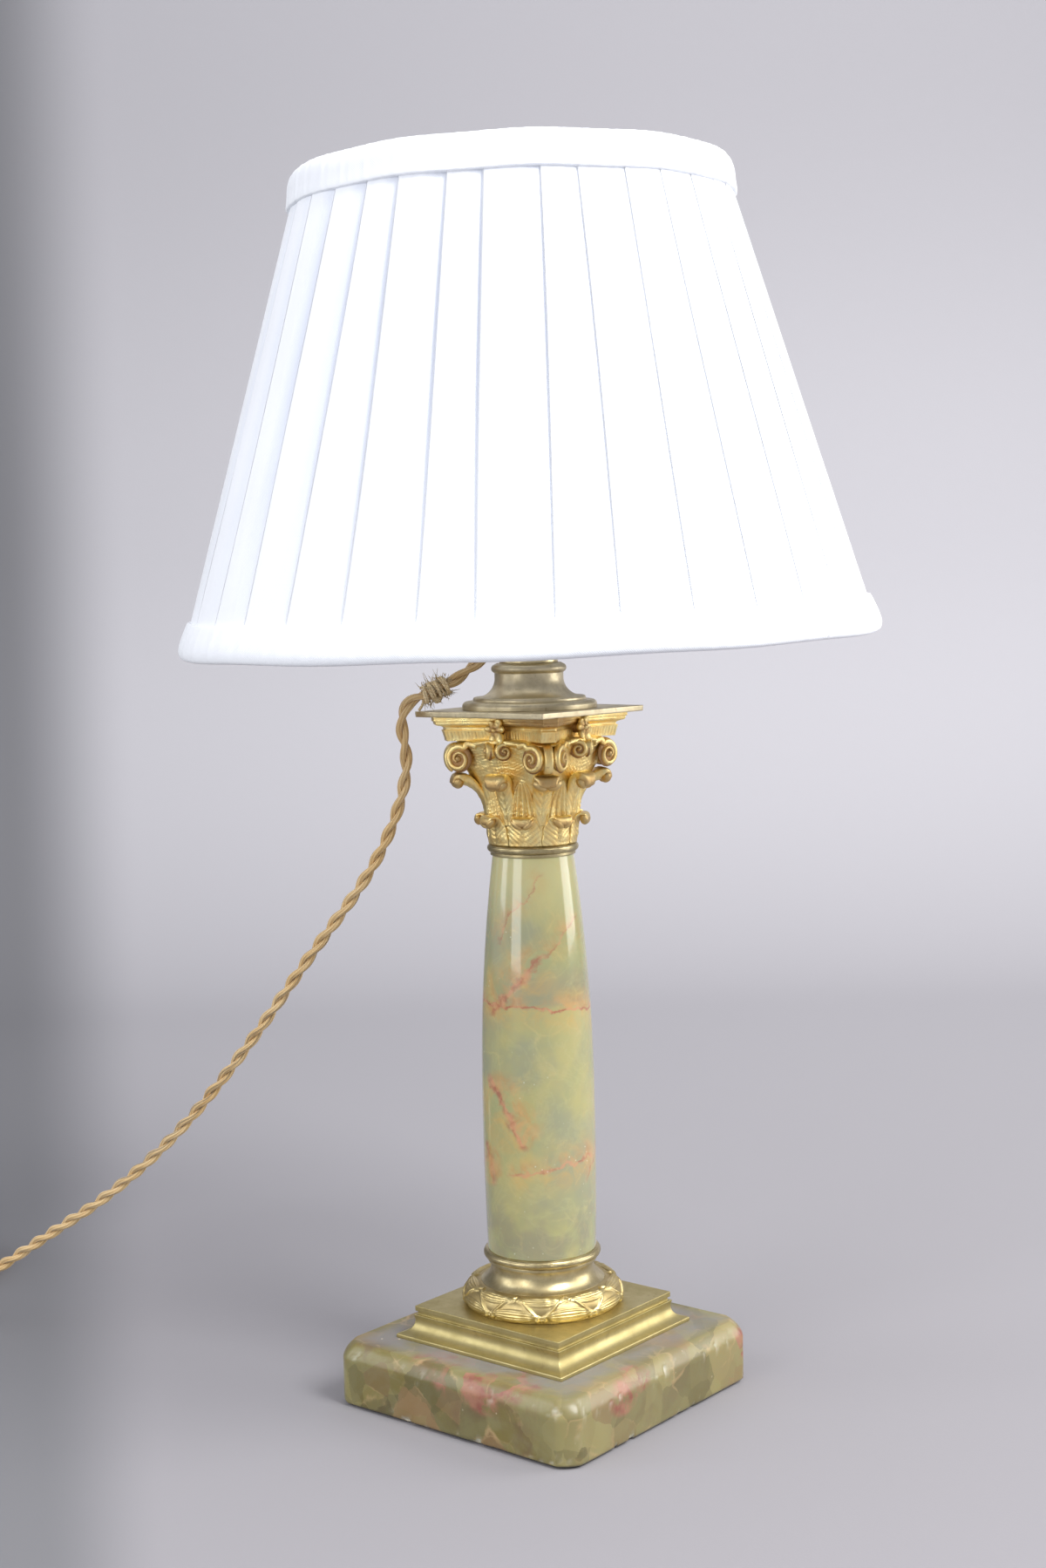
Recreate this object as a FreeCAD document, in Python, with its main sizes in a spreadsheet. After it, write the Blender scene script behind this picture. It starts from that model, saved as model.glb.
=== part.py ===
"""Column table lamp: onyx column on a stepped base, gilt capital, pleated shade, twisted flex.

Millimetres. Z is up, the origin is on the table under the column's axis, and the square parts
have their sides along X and Y. The flex leaves towards the corner at -X -Y.
"""

import FreeCAD
import Part
import Sketcher
import math
import os

Vector = FreeCAD.Vector
UP = Vector(0, 0, 1)
ALONG_X = FreeCAD.Rotation(Vector(0, 1, 0), 90)
OUT_ANGLE = 225  # the flex's corner of the base, in degrees from +X
QUARTER_TURN = (math.sqrt(2) - 1) / 2  # a quarter circle's rise over its chord

SIZES = {
    # plinth and its pad
    "pad_width": 122,
    "pad_thickness": 0.8,
    "plinth_width": 133,
    "plinth_side": 20.5,
    "plinth_corner": 4.5,
    "plinth_bevel_width": 4.6,
    "plinth_bevel_height": 6.7,
    "recess_radius": 16,
    "recess_depth": 11.2,
    # tie rod
    "rod_radius": 4.9,
    "rod_bore": 3.4,
    "rod_gap": 0.2,
    "rod_foot": 3,
    "rod_end": 337,
    "nut_across": 17,
    "nut_height": 5.5,
    "washer_radius": 12,
    "washer_thickness": 1.5,
    # brass base
    "step_width": 93.3,
    "step_foot": 1.8,
    "step_cove": 8.2,
    "step_quirk": 1.6,
    "step_slab": 2.2,
    "step_top_width": 81.2,
    "quirk_depth": 0.9,
    "wreath_radius": 34.6,
    "wreath_height": 10.2,
    "scotia_foot_radius": 28,
    "scotia_waist_radius": 23.2,
    "scotia_height": 10.4,
    "fillet_height": 1.6,
    "ring_height": 4,
    "ring_core": 24.2,
    # column
    "column_foot_radius": 24.1,
    "column_belly_radius": 24.95,
    "column_belly_height": 63.6,
    "column_height": 175.5,
    "column_neck_radius": 17.9,
    "top_fillet": 1.3,
    "top_fillet_radius": 18.7,
    "top_ring_core": 18.4,
    "top_ring_height": 3.6,
    # capital
    "bell_radius": 18.4,
    "bell_height": 46.7,
    "bell_lip_radius": 27,
    "leaf_count": 8,
    "lower_leaf_width": 11.4,
    "upper_leaf_width": 11,
    "volute_radius": 6.3,
    "volute_reach": 32.6,
    "volute_height": 39,
    "volute_thickness": 3.4,
    "helix_radius": 3.9,
    "helix_reach": 25.2,
    "helix_spread": 4.7,
    "abacus_height": 9.6,
    "abacus_foot_reach": 37.5,
    "abacus_reach": 43,
    "abacus_horn": 6.5,
    "abacus_hollow": 6.4,
    "flower_reach": 28.6,
    "flower_radius": 2.3,
    "petals": 6,
    # plate and neck
    "plate_width": 71.1,
    "plate_thickness": 2.5,
    "cup_radius": 29.3,
    "cup_neck_radius": 15,
    "cup_height": 19.8,
    "collar_radius": 12.8,
    "collar_height": 3.6,
    "nipple_radius": 7,
    "nipple_height": 5,
    # lampholder
    "cap_radius": 17,
    "cap_dome": 11,
    "cap_skirt": 11,
    "cap_wall": 1.2,
    "cap_foot_radius": 9,
    "outlet_slope": 38,
    "outlet_reach": 17,
    "outlet_level": 332,
    "outlet_radius": 4.5,
    "outlet_mouth": 11.8,
    "bush_radius": 3.7,
    "insulator_foot": 13,
    "insulator_boss_radius": 10.9,
    "insulator_boss_height": 9,
    "contact_spread": 6,
    "plunger_radius": 2,
    "plunger_height": 8.5,
    "plunger_stand": 2,
    "plunger_gap": 0.05,
    "spring_wire": 0.5,
    "spring_length": 6.5,
    "spring_turns": 5,
    "post_radius": 2,
    "post_height": 5,
    "bar_length": 49,
    "bar_width": 6,
    "bar_height": 3,
    "bar_level": 15.5,
    "bar_offset": 3,
    "bar_gap": 0.15,
    "bar_corner": 1.6,
    "barrel_radius": 14.2,
    "barrel_bore": 11.2,
    "barrel_height": 33,
    "flange_thickness": 2,
    "seat_level": 12.5,
    "seat_thickness": 1.5,
    "slot_depth": 2,
    "slot_play": 0.4,
    "slot_level": 18.7,
    "slot_hook": 1.9,
    # bulb
    "bulb_cap_radius": 10.95,
    "bulb_cap_height": 25,
    "bulb_stand": 0.6,
    "bulb_radius": 30,
    "bulb_length": 107,
    "bulb_wall": 0.8,
    "bulb_pin_radius": 1,
    "bulb_pin_reach": 12.7,
    "bulb_push": 1.8,
    "pad_contact_radius": 2.6,
    # shade fitting
    "swivel_gap": 0.2,
    "gimbal_outer": 20.5,
    "gimbal_wall": 1.2,
    "gimbal_height": 8,
    "pivot_level": 5.5,
    "pivot_radius": 1.5,
    "pivot_reach": 26,
    "pivot_head": 2.6,
    "pivot_play": 0.05,
    "thread_gap": 0.06,
    "nut_radius": 18.5,
    "nut_rise": 7,
    "hub_bore": 22.2,
    "hub_radius": 24.7,
    "hub_height": 4,
    # shade
    "shade_lean": 1.75,
    "shade_foot": 335.8,
    "shade_height": 197,
    "cloth_foot_radius": 149.3,
    "cloth_top_radius": 90.3,
    "cloth_thickness": 1,
    "pleats": 36,
    "pleat_face": 6.4,
    "pleat_step": 0.7,
    "pleat_depth_top": 1.9,
    "pleat_depth_foot": 0.4,
    "lining_thickness": 0.5,
    "strut_radius": 1.2,
    "struts": 6,
    "frame_wire": 1.5,
    "frame_inset": 2.2,
    "arm_radius": 1.3,
    "arms": 3,
    "trim_height": 13.5,
    "trim_depth": 2.6,
    "trim_lip": 1.3,
    # flex and plug
    "flex_diameter": 6,
    "flex_floor": 3.3,
    "coil_radius": 26.5,
    "coil_pitch": 6.5,
    "coil_steps": 5,
    "fold_radius": 21,
    "fold_climb": 11.8,
    "coil_tail": 9,
    "coil_heading": 194.2,
    "tie_radius": 3.9,
    "tie_length": 3.2,
    "knot_radius": 2.2,
    "plug_width": 49,
    "plug_length": 50,
    "plug_depth": 21,
    "plug_base": 7,
    "plug_corner": 8,
    "plug_wall": 2.5,
    "plug_entry": 9.6,
    "pin_spacing": 22.23,
    "pin_length": 17.7,
    "earth_length": 22.7,
    "pin_width": 6.35,
    "pin_thickness": 4,
    "earth_width": 4,
    "earth_thickness": 8,
    "fuse_radius": 3.15,
    "fuse_length": 25.4,
    "plug_screw_radius": 2.6,
}

# The flex's free run: its middle line from the cord bush to the start of the coil, by hand.
FLEX_ROUTE = [
    (-6.0, -6.0, 338.65),
    (-19.4, -19.4, 323.84),
    (-31.0, -30.6, 317.2),
    (-41.0, -40.0, 314.6),
    (-46.2, -44.6, 301.5),
    (-45.6, -42.2, 284.0),
    (-47.6, -39.4, 261.0),
    (-61.5, -42.2, 234.0),
    (-90.5, -49.6, 196.0),
    (-124.6, -58.6, 153.5),
    (-161.4, -67.6, 111.5),
    (-200.4, -77.8, 76.5),
    (-240.4, -87.6, 49.5),
    (-278.0, -97.4, 24.5),
    (-307.4, -104.7, 9.3),
    (-331.0, -110.6, 3.3),
    (-355.9, -116.9, 3.3),
]

doc = FreeCAD.newDocument("column_table_lamp")
sheet = doc.addObject("Spreadsheet::Sheet", "sizes")
nodes = []


class Size:
    """A number together with the spreadsheet expression that gives it."""

    def __init__(self, value, text):
        self.value = float(value)
        self.text = text

    def __add__(self, other):
        other = sized(other)
        return Size(self.value + other.value, "(%s + %s)" % (self.text, other.text))

    def __sub__(self, other):
        other = sized(other)
        return Size(self.value - other.value, "(%s - %s)" % (self.text, other.text))

    def __mul__(self, other):
        other = sized(other)
        return Size(self.value * other.value, "(%s * %s)" % (self.text, other.text))

    def __truediv__(self, other):
        other = sized(other)
        return Size(self.value / other.value, "(%s / %s)" % (self.text, other.text))

    def __neg__(self):
        return Size(-self.value, "(-1 * %s)" % self.text)

    def __radd__(self, other):
        return sized(other) + self

    def __rsub__(self, other):
        return sized(other) - self

    def __rmul__(self, other):
        return sized(other) * self

    def __float__(self):
        return self.value


def sized(number):
    """A plain number as a Size."""
    return number if isinstance(number, Size) else Size(number, "(%.9g)" % number)


def sine(angle):
    return Size(math.sin(math.radians(angle.value)), "sin(%s * 1 deg)" % angle.text)


def cosine(angle):
    return Size(math.cos(math.radians(angle.value)), "cos(%s * 1 deg)" % angle.text)


def fill_sheet():
    """Write every size to its own cell with an alias, and give them back by name."""
    named = {}
    for row, (name, number) in enumerate(SIZES.items(), start=1):
        sheet.set("A%d" % row, name)
        sheet.set("B%d" % row, str(number))
        sheet.setAlias("B%d" % row, name)
        named[name] = Size(number, "sizes.%s" % name)
    doc.recompute()
    return named


S = fill_sheet()


# ------------------------------------------------------------------ building helpers
def bind(thing, **properties):
    """Tie properties to expressions; a double underscore stands for a dot."""
    for name, size in properties.items():
        thing.setExpression(name.replace("__", "."), sized(size).text)
    return thing


def place(thing, x=0, y=0, z=0, turn=None):
    """Put a thing at a bound position, turned by a plain rotation."""
    thing.Placement = FreeCAD.Placement(Vector(), turn or FreeCAD.Rotation())
    bind(thing, Placement__Base__x=x, Placement__Base__y=y, Placement__Base__z=z)
    return thing


def node(thing, label):
    """Name a finished sub-part and list it for writing."""
    thing.Label = label
    nodes.append(thing)
    return thing


def cylinder(name, radius, height, x=0, y=0, z=0, turn=None, angle=360):
    thing = doc.addObject("Part::Cylinder", name)
    bind(thing, Radius=radius, Height=height, Angle=angle)
    return place(thing, x, y, z, turn)


def block(name, length, width, height, x=0, y=0, z=0):
    """A box centred on X and Y, standing on z."""
    thing = doc.addObject("Part::Box", name)
    bind(thing, Length=length, Width=width, Height=height)
    return place(thing, sized(x) - sized(length) / 2, sized(y) - sized(width) / 2, z)


def cut(name, base, tool):
    thing = doc.addObject("Part::Cut", name)
    thing.Base = base
    thing.Tool = tool
    return thing


def fused(name, *things):
    thing = doc.addObject("Part::MultiFuse", name)
    thing.Shapes = list(things)
    return thing


def draw(sketch, corners):
    """Close an outline through bound corners. A third value bends the edge that arrives there:
    the arc's rise over its chord, to the right of the way it runs."""
    points = [(sized(c[0]), sized(c[1])) for c in corners]
    bends = [c[2] if len(c) > 2 else 0 for c in corners]
    ends = []
    for i in range(len(points)):
        j = (i + 1) % len(points)
        (x0, y0), (x1, y1) = points[i], points[j]
        start = Vector(x0.value, y0.value, 0)
        end = Vector(x1.value, y1.value, 0)
        if not bends[j]:
            edge = sketch.addGeometry(Part.LineSegment(start, end), False)
            ends.append((edge, 1, edge, 2))
            continue
        rise = bends[j]
        mid_x = (x0 + x1) / 2 + (y1 - y0) * rise
        mid_y = (y0 + y1) / 2 - (x1 - x0) * rise
        mid = Vector(mid_x.value, mid_y.value, 0)
        edge = sketch.addGeometry(Part.Arc(start, mid, end), False)
        first = sketch.getPoint(edge, 1).distanceToPoint(start) < 1e-6
        ends.append((edge, 1, edge, 2) if first else (edge, 2, edge, 1))
        dot = sketch.addGeometry(Part.Point(mid), True)
        sketch.addConstraint(Sketcher.Constraint("PointOnObject", dot, 1, edge))
        hold(sketch, dot, 1, mid_x, mid_y)
    for i, (edge, first, _, _) in enumerate(ends):
        _, _, before, last = ends[i - 1]
        sketch.addConstraint(Sketcher.Constraint("Coincident", before, last, edge, first))
        hold(sketch, edge, first, *points[i])
    return sketch


def hold(sketch, edge, end, x, y):
    """Tie one point of a sketch to two expressions."""
    for kind, axis, size in (("DistanceX", -2, x), ("DistanceY", -1, y)):
        if abs(size.value) < 1e-9:
            sketch.addConstraint(Sketcher.Constraint("PointOnObject", edge, end, axis))
            continue
        index = sketch.addConstraint(Sketcher.Constraint(kind, -1, 1, edge, end, size.value))
        sketch.setExpression("Constraints[%d]" % index, size.text)


def origin_plane(body, role):
    return next(f for f in body.Origin.OriginFeatures if f.Role == role)


def turned(label, corners, keep=True):
    """A body of revolution about Z from (radius, height) corners."""
    body = doc.addObject("PartDesign::Body", label)
    sketch = body.newObject("Sketcher::SketchObject", label + "_profile")
    sketch.AttachmentSupport = (origin_plane(body, "XZ_Plane"), [""])
    sketch.MapMode = "FlatFace"
    draw(sketch, corners)
    spin = body.newObject("PartDesign::Revolution", label + "_turning")
    spin.Profile = sketch
    spin.ReferenceAxis = (sketch, ["V_Axis"])
    spin.Angle = 360
    return node(body, label) if keep else body


def flat_outline(name, corners, z=0, turn=None):
    """A closed outline on its own, parallel to the table unless turned."""
    sketch = doc.addObject("Sketcher::SketchObject", name)
    draw(sketch, corners)
    return place(sketch, 0, 0, z, turn)


def lofted(name, outlines):
    thing = doc.addObject("Part::Loft", name)
    thing.Sections = outlines
    thing.Solid = True
    thing.Ruled = True
    return thing


def bored(label, thing, radius, height, z):
    """The thing with the tie rod's hole through it."""
    hole = cylinder(label + "_hole", radius, height + 2, z=z - 1)
    return node(cut(label, thing, hole), label)


def shaped(label, shape, listed=True):
    """A sub-part whose shape is made directly from the sizes."""
    thing = doc.addObject("Part::Feature", label)
    thing.Shape = shape
    thing.Placement = FreeCAD.Placement()
    return node(thing, label) if listed else thing


def around(shape, count, start=0.0):
    """Copies of a shape spaced evenly about Z."""
    copies = []
    for i in range(count):
        copy = shape.copy()
        copy.rotate(Vector(), UP, start + i * 360.0 / count)
        copies.append(copy)
    return copies


def smooth(points):
    """A smooth edge through points."""
    curve = Part.BSplineCurve()
    curve.interpolate([Vector(*p) for p in points])
    return curve.toShape()


def slab(edges, push):
    """A solid from closed edges pushed along a vector."""
    return Part.Face(Part.Wire(Part.__sortEdges__(edges))).extrude(push)


def fitted(shapes, *neighbours):
    """The shapes with what their neighbours fill cut away, keeping each one's largest piece."""
    kept = []
    for shape in shapes:
        for other in neighbours:
            shape = shape.cut(other)
        kept.append(max(shape.Solids, key=lambda s: s.Volume))
    return kept


def tube_path(route):
    """Straight runs joined by tangent arcs, each as large as its two runs allow."""
    points = [Vector(*p) for p in route]
    edges = []
    radii = []
    last = points[0]
    for before, corner, after in zip(points, points[1:], points[2:]):
        back = (before - corner).normalize()
        ahead = (after - corner).normalize()
        share = 0.45 * min(before.distanceToPoint(corner), after.distanceToPoint(corner))
        half_turn = (math.pi - back.getAngle(ahead)) / 2
        radii.append(share / math.tan(half_turn))
        start = corner + back * share
        end = corner + ahead * share
        inward = (back + ahead).normalize()
        middle = corner + inward * (radii[-1] / math.cos(half_turn) - radii[-1])
        edges.append(Part.LineSegment(last, start).toShape())
        edges.append(Part.Arc(start, middle, end).toShape())
        last = end
    edges.append(Part.LineSegment(last, points[-1]).toShape())
    return edges, radii


def swept(edges, radius):
    """A round tube along edges that run on tangent to each other."""
    path = Part.Wire(edges)
    start = edges[0].valueAt(edges[0].FirstParameter)
    heading = edges[0].tangentAt(edges[0].FirstParameter)
    section = Part.Wire([Part.Circle(start, heading, radius).toShape()])
    solid = path.makePipeShell([section], True, False)
    expected = math.pi * radius**2 * path.Length
    print("tube: length %.1f, volume %.4f of section by length" % (path.Length, solid.Volume / expected))
    return solid


# ------------------------------------------------------------------ heights up the lamp
def add(*sizes):
    total = sizes[0]
    for size in sizes[1:]:
        total = total + size
    return total


plinth_foot = S["pad_thickness"]
plinth_top = add(plinth_foot, S["plinth_side"], S["plinth_bevel_height"])
step_top = add(plinth_top, S["step_foot"], S["step_cove"], S["step_quirk"], S["step_slab"])
wreath_top = step_top + S["wreath_height"]
scotia_top = wreath_top + S["scotia_height"]
column_foot = scotia_top + S["ring_height"]
column_top = column_foot + S["column_height"]
top_ring_foot = column_top + S["top_fillet"]
capital_foot = top_ring_foot + S["top_ring_height"]
abacus_foot = capital_foot + S["bell_height"]
plate_foot = abacus_foot + S["abacus_height"]
cup_foot = plate_foot + S["plate_thickness"]
collar_foot = cup_foot + S["cup_height"]
nipple_foot = collar_foot + S["collar_height"]
cap_foot = nipple_foot + S["nipple_height"]
cap_top = cap_foot + S["cap_dome"] + S["cap_skirt"]
insulator_foot = cap_top - S["insulator_foot"]
insulator_top = cap_top + S["insulator_boss_height"]
contact_level = insulator_top + S["plunger_stand"]
barrel_top = cap_top + S["barrel_height"]
seat_top = add(cap_top, S["seat_level"], S["seat_thickness"])
gimbal_foot = seat_top + S["swivel_gap"]
pivot_height = gimbal_foot + S["pivot_level"]
bore = S["rod_radius"] + S["rod_gap"]


# ------------------------------------------------------------------ base
def square(half, corner):
    """A square outline with its corners cut."""
    near = half - corner
    return [
        (half, -near),
        (half, near),
        (near, half),
        (-near, half),
        (-half, near),
        (-half, -near),
        (-near, -half),
        (near, -half),
    ]


def make_pad():
    node(block("baize_pad", S["pad_width"], S["pad_width"], S["pad_thickness"]), "baize_pad")


def make_plinth():
    half = S["plinth_width"] / 2
    inner = half - S["plinth_bevel_width"]
    shoulder = plinth_foot + S["plinth_side"]
    low = flat_outline("plinth_low", square(half, S["plinth_corner"]), plinth_foot)
    mid = flat_outline("plinth_mid", square(half, S["plinth_corner"]), shoulder)
    top = flat_outline("plinth_high", square(inner, S["plinth_corner"]), plinth_top)
    sides = lofted("plinth_sides", [low, mid])
    bevel = lofted("plinth_bevel", [mid, top])
    stone = fused("plinth_stone", sides, bevel)
    recess = cylinder(
        "plinth_recess", S["recess_radius"], S["recess_depth"] + 1, z=plinth_foot - 1
    )
    hollowed = cut("plinth_hollowed", stone, recess)
    bored("onyx_plinth", hollowed, bore, plinth_top, sized(0))


def make_tie_rod():
    ceiling = plinth_foot + S["recess_depth"]
    washer_foot = ceiling - S["washer_thickness"]
    nut_foot = washer_foot - S["nut_height"]
    turned(
        "tie_rod",
        [
            (S["rod_bore"], S["rod_foot"]),
            (S["rod_radius"], S["rod_foot"]),
            (S["rod_radius"], S["rod_end"]),
            (S["rod_bore"], S["rod_end"]),
        ],
    )
    turned(
        "rod_washer",
        [
            (bore, washer_foot),
            (S["washer_radius"], washer_foot),
            (S["washer_radius"], ceiling),
            (bore, ceiling),
        ],
    )
    body = doc.addObject("PartDesign::Body", "rod_nut")
    sketch = body.newObject("Sketcher::SketchObject", "rod_nut_outline")
    sketch.AttachmentSupport = (origin_plane(body, "XY_Plane"), [""])
    sketch.MapMode = "FlatFace"
    bind(sketch, AttachmentOffset__Base__z=nut_foot)
    reach = S["nut_across"] / math.sqrt(3)
    draw(
        sketch,
        [
            (reach * math.cos(math.radians(a)), reach * math.sin(math.radians(a)))
            for a in range(30, 390, 60)
        ],
    )
    rim = sketch.addGeometry(Part.Circle(Vector(), UP, S["rod_radius"].value), False)
    sketch.addConstraint(Sketcher.Constraint("Coincident", rim, 3, -1, 1))
    index = sketch.addConstraint(Sketcher.Constraint("Radius", rim, S["rod_radius"].value))
    sketch.setExpression("Constraints[%d]" % index, S["rod_radius"].text)
    pad = body.newObject("PartDesign::Pad", "rod_nut_pad")
    pad.Profile = sketch
    bind(pad, Length=S["nut_height"])
    node(body, "rod_nut")


def make_brass_step():
    """The square moulding: one profile run both ways, kept where the two runs meet."""
    half = S["step_width"] / 2
    top_half = S["step_top_width"] / 2
    cove_foot = plinth_top + S["step_foot"]
    cove_top = cove_foot + S["step_cove"]
    quirk_top = cove_top + S["step_quirk"]
    right = [
        (half, plinth_top),
        (half, cove_foot - 0.6),
        (half - 0.6, cove_foot, 0.2),
        (half - 1.6, cove_foot + 0.3),
        (top_half + 0.5, cove_top - 0.4, -0.24),
        (top_half + 0.5, cove_top),
        (top_half - S["quirk_depth"], cove_top),
        (top_half - S["quirk_depth"], quirk_top),
        (top_half, quirk_top),
        (top_half, step_top),
    ]
    left = [(-right[-1][0], right[-1][1])]
    for corner, after in zip(reversed(right[:-1]), reversed(right[1:])):
        left.append((-corner[0], corner[1]) + tuple(after[2:]))
    runs = []
    for name, spin in (("step_run_x", 0), ("step_run_y", 90)):
        stand = FreeCAD.Rotation(UP, spin) * FreeCAD.Rotation(Vector(1, 0, 0), 90)
        outline = flat_outline(name + "_profile", right + left, 0, stand)
        run = doc.addObject("Part::Extrusion", name)
        run.Base = outline
        run.DirMode = "Normal"
        run.Symmetric = True
        run.Solid = True
        bind(run, LengthFwd=S["step_width"] + 2)
        runs.append(run)
    both = doc.addObject("Part::MultiCommon", "step_block")
    both.Shapes = runs
    bored("brass_step", both, bore, step_top - plinth_top, plinth_top)


def make_base_rings():
    turned(
        "wreath_torus",
        [
            (bore, step_top),
            (S["wreath_radius"], step_top),
            (S["scotia_foot_radius"], wreath_top, 0.38),
            (bore, wreath_top),
        ],
    )
    turned(
        "base_scotia",
        [
            (bore, wreath_top),
            (S["scotia_foot_radius"] - 0.4, wreath_top),
            (S["scotia_waist_radius"], scotia_top - S["fillet_height"], -0.2),
            (S["ring_core"], scotia_top - S["fillet_height"]),
            (S["ring_core"], scotia_top),
            (bore, scotia_top),
        ],
    )
    turned(
        "lower_astragal",
        [
            (bore, scotia_top),
            (S["ring_core"], scotia_top),
            (S["ring_core"], column_foot, 0.46),
            (bore, column_foot),
        ],
    )


# ------------------------------------------------------------------ column
def make_column():
    belly = column_foot + S["column_belly_height"]
    turned(
        "onyx_column",
        [
            (bore, column_foot),
            (S["column_foot_radius"], column_foot),
            (S["column_belly_radius"], belly, 0.005),
            (S["column_neck_radius"], column_top, 0.0174),
            (bore, column_top),
        ],
    )
    return turned(
        "upper_astragal",
        [
            (bore, column_top),
            (S["top_fillet_radius"], column_top),
            (S["top_fillet_radius"], top_ring_foot),
            (S["top_ring_core"], top_ring_foot),
            (S["top_ring_core"], capital_foot, 0.46),
            (bore, capital_foot),
        ],
    )


# ------------------------------------------------------------------ capital
def make_bell():
    """The basket behind the leaves, flaring to a lip under the abacus."""
    foot = S["bell_radius"]
    lip = S["bell_lip_radius"]
    return turned(
        "capital_bell",
        [
            (bore, capital_foot),
            (foot, capital_foot),
            (foot + 1.4, capital_foot + 17.0, -0.01),
            (lip - 1.2, abacus_foot - 3.2, -0.12),
            (lip, abacus_foot - 2.4),
            (lip, abacus_foot, 0.35),
            (bore, abacus_foot),
        ],
    )


def leaf(width, front, back, spread):
    """One leaf: a curled side view, cut to its lobed outline seen from the front."""
    side = slab([smooth(front), smooth(back)], Vector(0, width, 0))
    side.translate(Vector(0, -width / 2, 0))
    low = min(p[2] for p in front + back) - 0.1
    outline = [(y * width / 2, z) for y, z in spread]
    points = [Vector(0, y, low + z) for y, z in outline]
    points += [Vector(0, -y, low + z) for y, z in reversed(outline)]
    face = Part.Face(Part.makePolygon(points + points[:1]))
    return side.common(face.extrude(Vector(60, 0, 0)))


def make_leaves(bell, ring):
    foot = capital_foot.value
    r = S["bell_radius"].value
    front = [(r - 1, 0, foot), (r + 1.3, 0, foot), (r + 1.2, 0, foot + 4.5)]
    front += [(r + 2.2, 0, foot + 9), (r + 4.2, 0, foot + 9.4), (r + 5.2, 0, foot + 10.6)]
    back = [(r + 5.2, 0, foot + 10.6), (r + 4.6, 0, foot + 12.6), (r + 2.6, 0, foot + 13.4)]
    back += [(r + 0.6, 0, foot + 12.2), (r - 1, 0, foot + 7), (r - 1, 0, foot)]
    spread = [(0.86, 0), (1.0, 2.5), (0.8, 4.0), (0.96, 6.5), (0.7, 8.2), (0.62, 11.0), (0.3, 13.8)]
    low = leaf(S["lower_leaf_width"].value, front, back, spread)
    lower = fitted(around(low, int(S["leaf_count"].value), 22.5), bell, ring)
    shaped("lower_leaves", Part.makeCompound(lower))
    r = S["bell_radius"].value + 1.4
    foot = foot + 9.5
    front = [(r - 1.5, 0, foot), (r + 1.6, 0, foot), (r + 1.9, 0, foot + 7), (r + 4.6, 0, foot + 14)]
    front += [(r + 8.6, 0, foot + 17.4), (r + 10.6, 0, foot + 16.2), (r + 12.2, 0, foot + 18)]
    back = [(r + 12.2, 0, foot + 18), (r + 11.4, 0, foot + 20.6), (r + 8.4, 0, foot + 21.4)]
    back += [(r + 3.4, 0, foot + 18), (r + 0.2, 0, foot + 10), (r - 1.5, 0, foot)]
    spread = [(0.5, 0), (0.6, 6), (0.95, 9), (0.8, 11), (1.0, 14), (0.75, 16), (0.72, 20), (0.4, 21.6)]
    high = leaf(S["upper_leaf_width"].value, front, back, spread)
    upper = fitted(around(high, int(S["leaf_count"].value), 45), bell, *lower)
    shaped("upper_leaves", Part.makeCompound(upper))
    return lower + upper


def scroll(radius, reach, height, thickness, root, eye):
    """A rolled end on its stem, drawn in the XZ plane and centred on it."""
    centre = Vector(reach, 0, height)
    rim = Part.makeCylinder(radius, thickness, centre - Vector(0, thickness / 2, 0), Vector(0, 1, 0))
    heel = (root[0] - 2, 0, root[2] + 2.4)
    stem_low = [root, (root[0] + 3, 0, height - radius), (reach, 0, height - radius * 0.8)]
    top = (reach - radius * 0.3, 0, height + radius * 0.9)
    stem_high = [top, (root[0] + 1.5, 0, height - radius * 0.1), heel]
    close = Part.makeLine(Vector(*stem_low[-1]), Vector(*top))
    base = Part.makeLine(Vector(*stem_high[-1]), Vector(*root))
    stem = slab([smooth(stem_low), close, smooth(stem_high), base], Vector(0, thickness * 0.8, 0))
    stem.translate(Vector(0, -thickness * 0.4, 0))
    button = Part.makeCylinder(
        eye, thickness + 1.2, centre - Vector(0, thickness / 2 + 0.6, 0), Vector(0, 1, 0)
    )
    rest = Part.makeBox(
        radius, thickness * 0.7, radius + 3, Vector(reach - radius * 1.1, -thickness * 0.35, height)
    )
    return rim.fuse([stem, button, rest])


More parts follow.
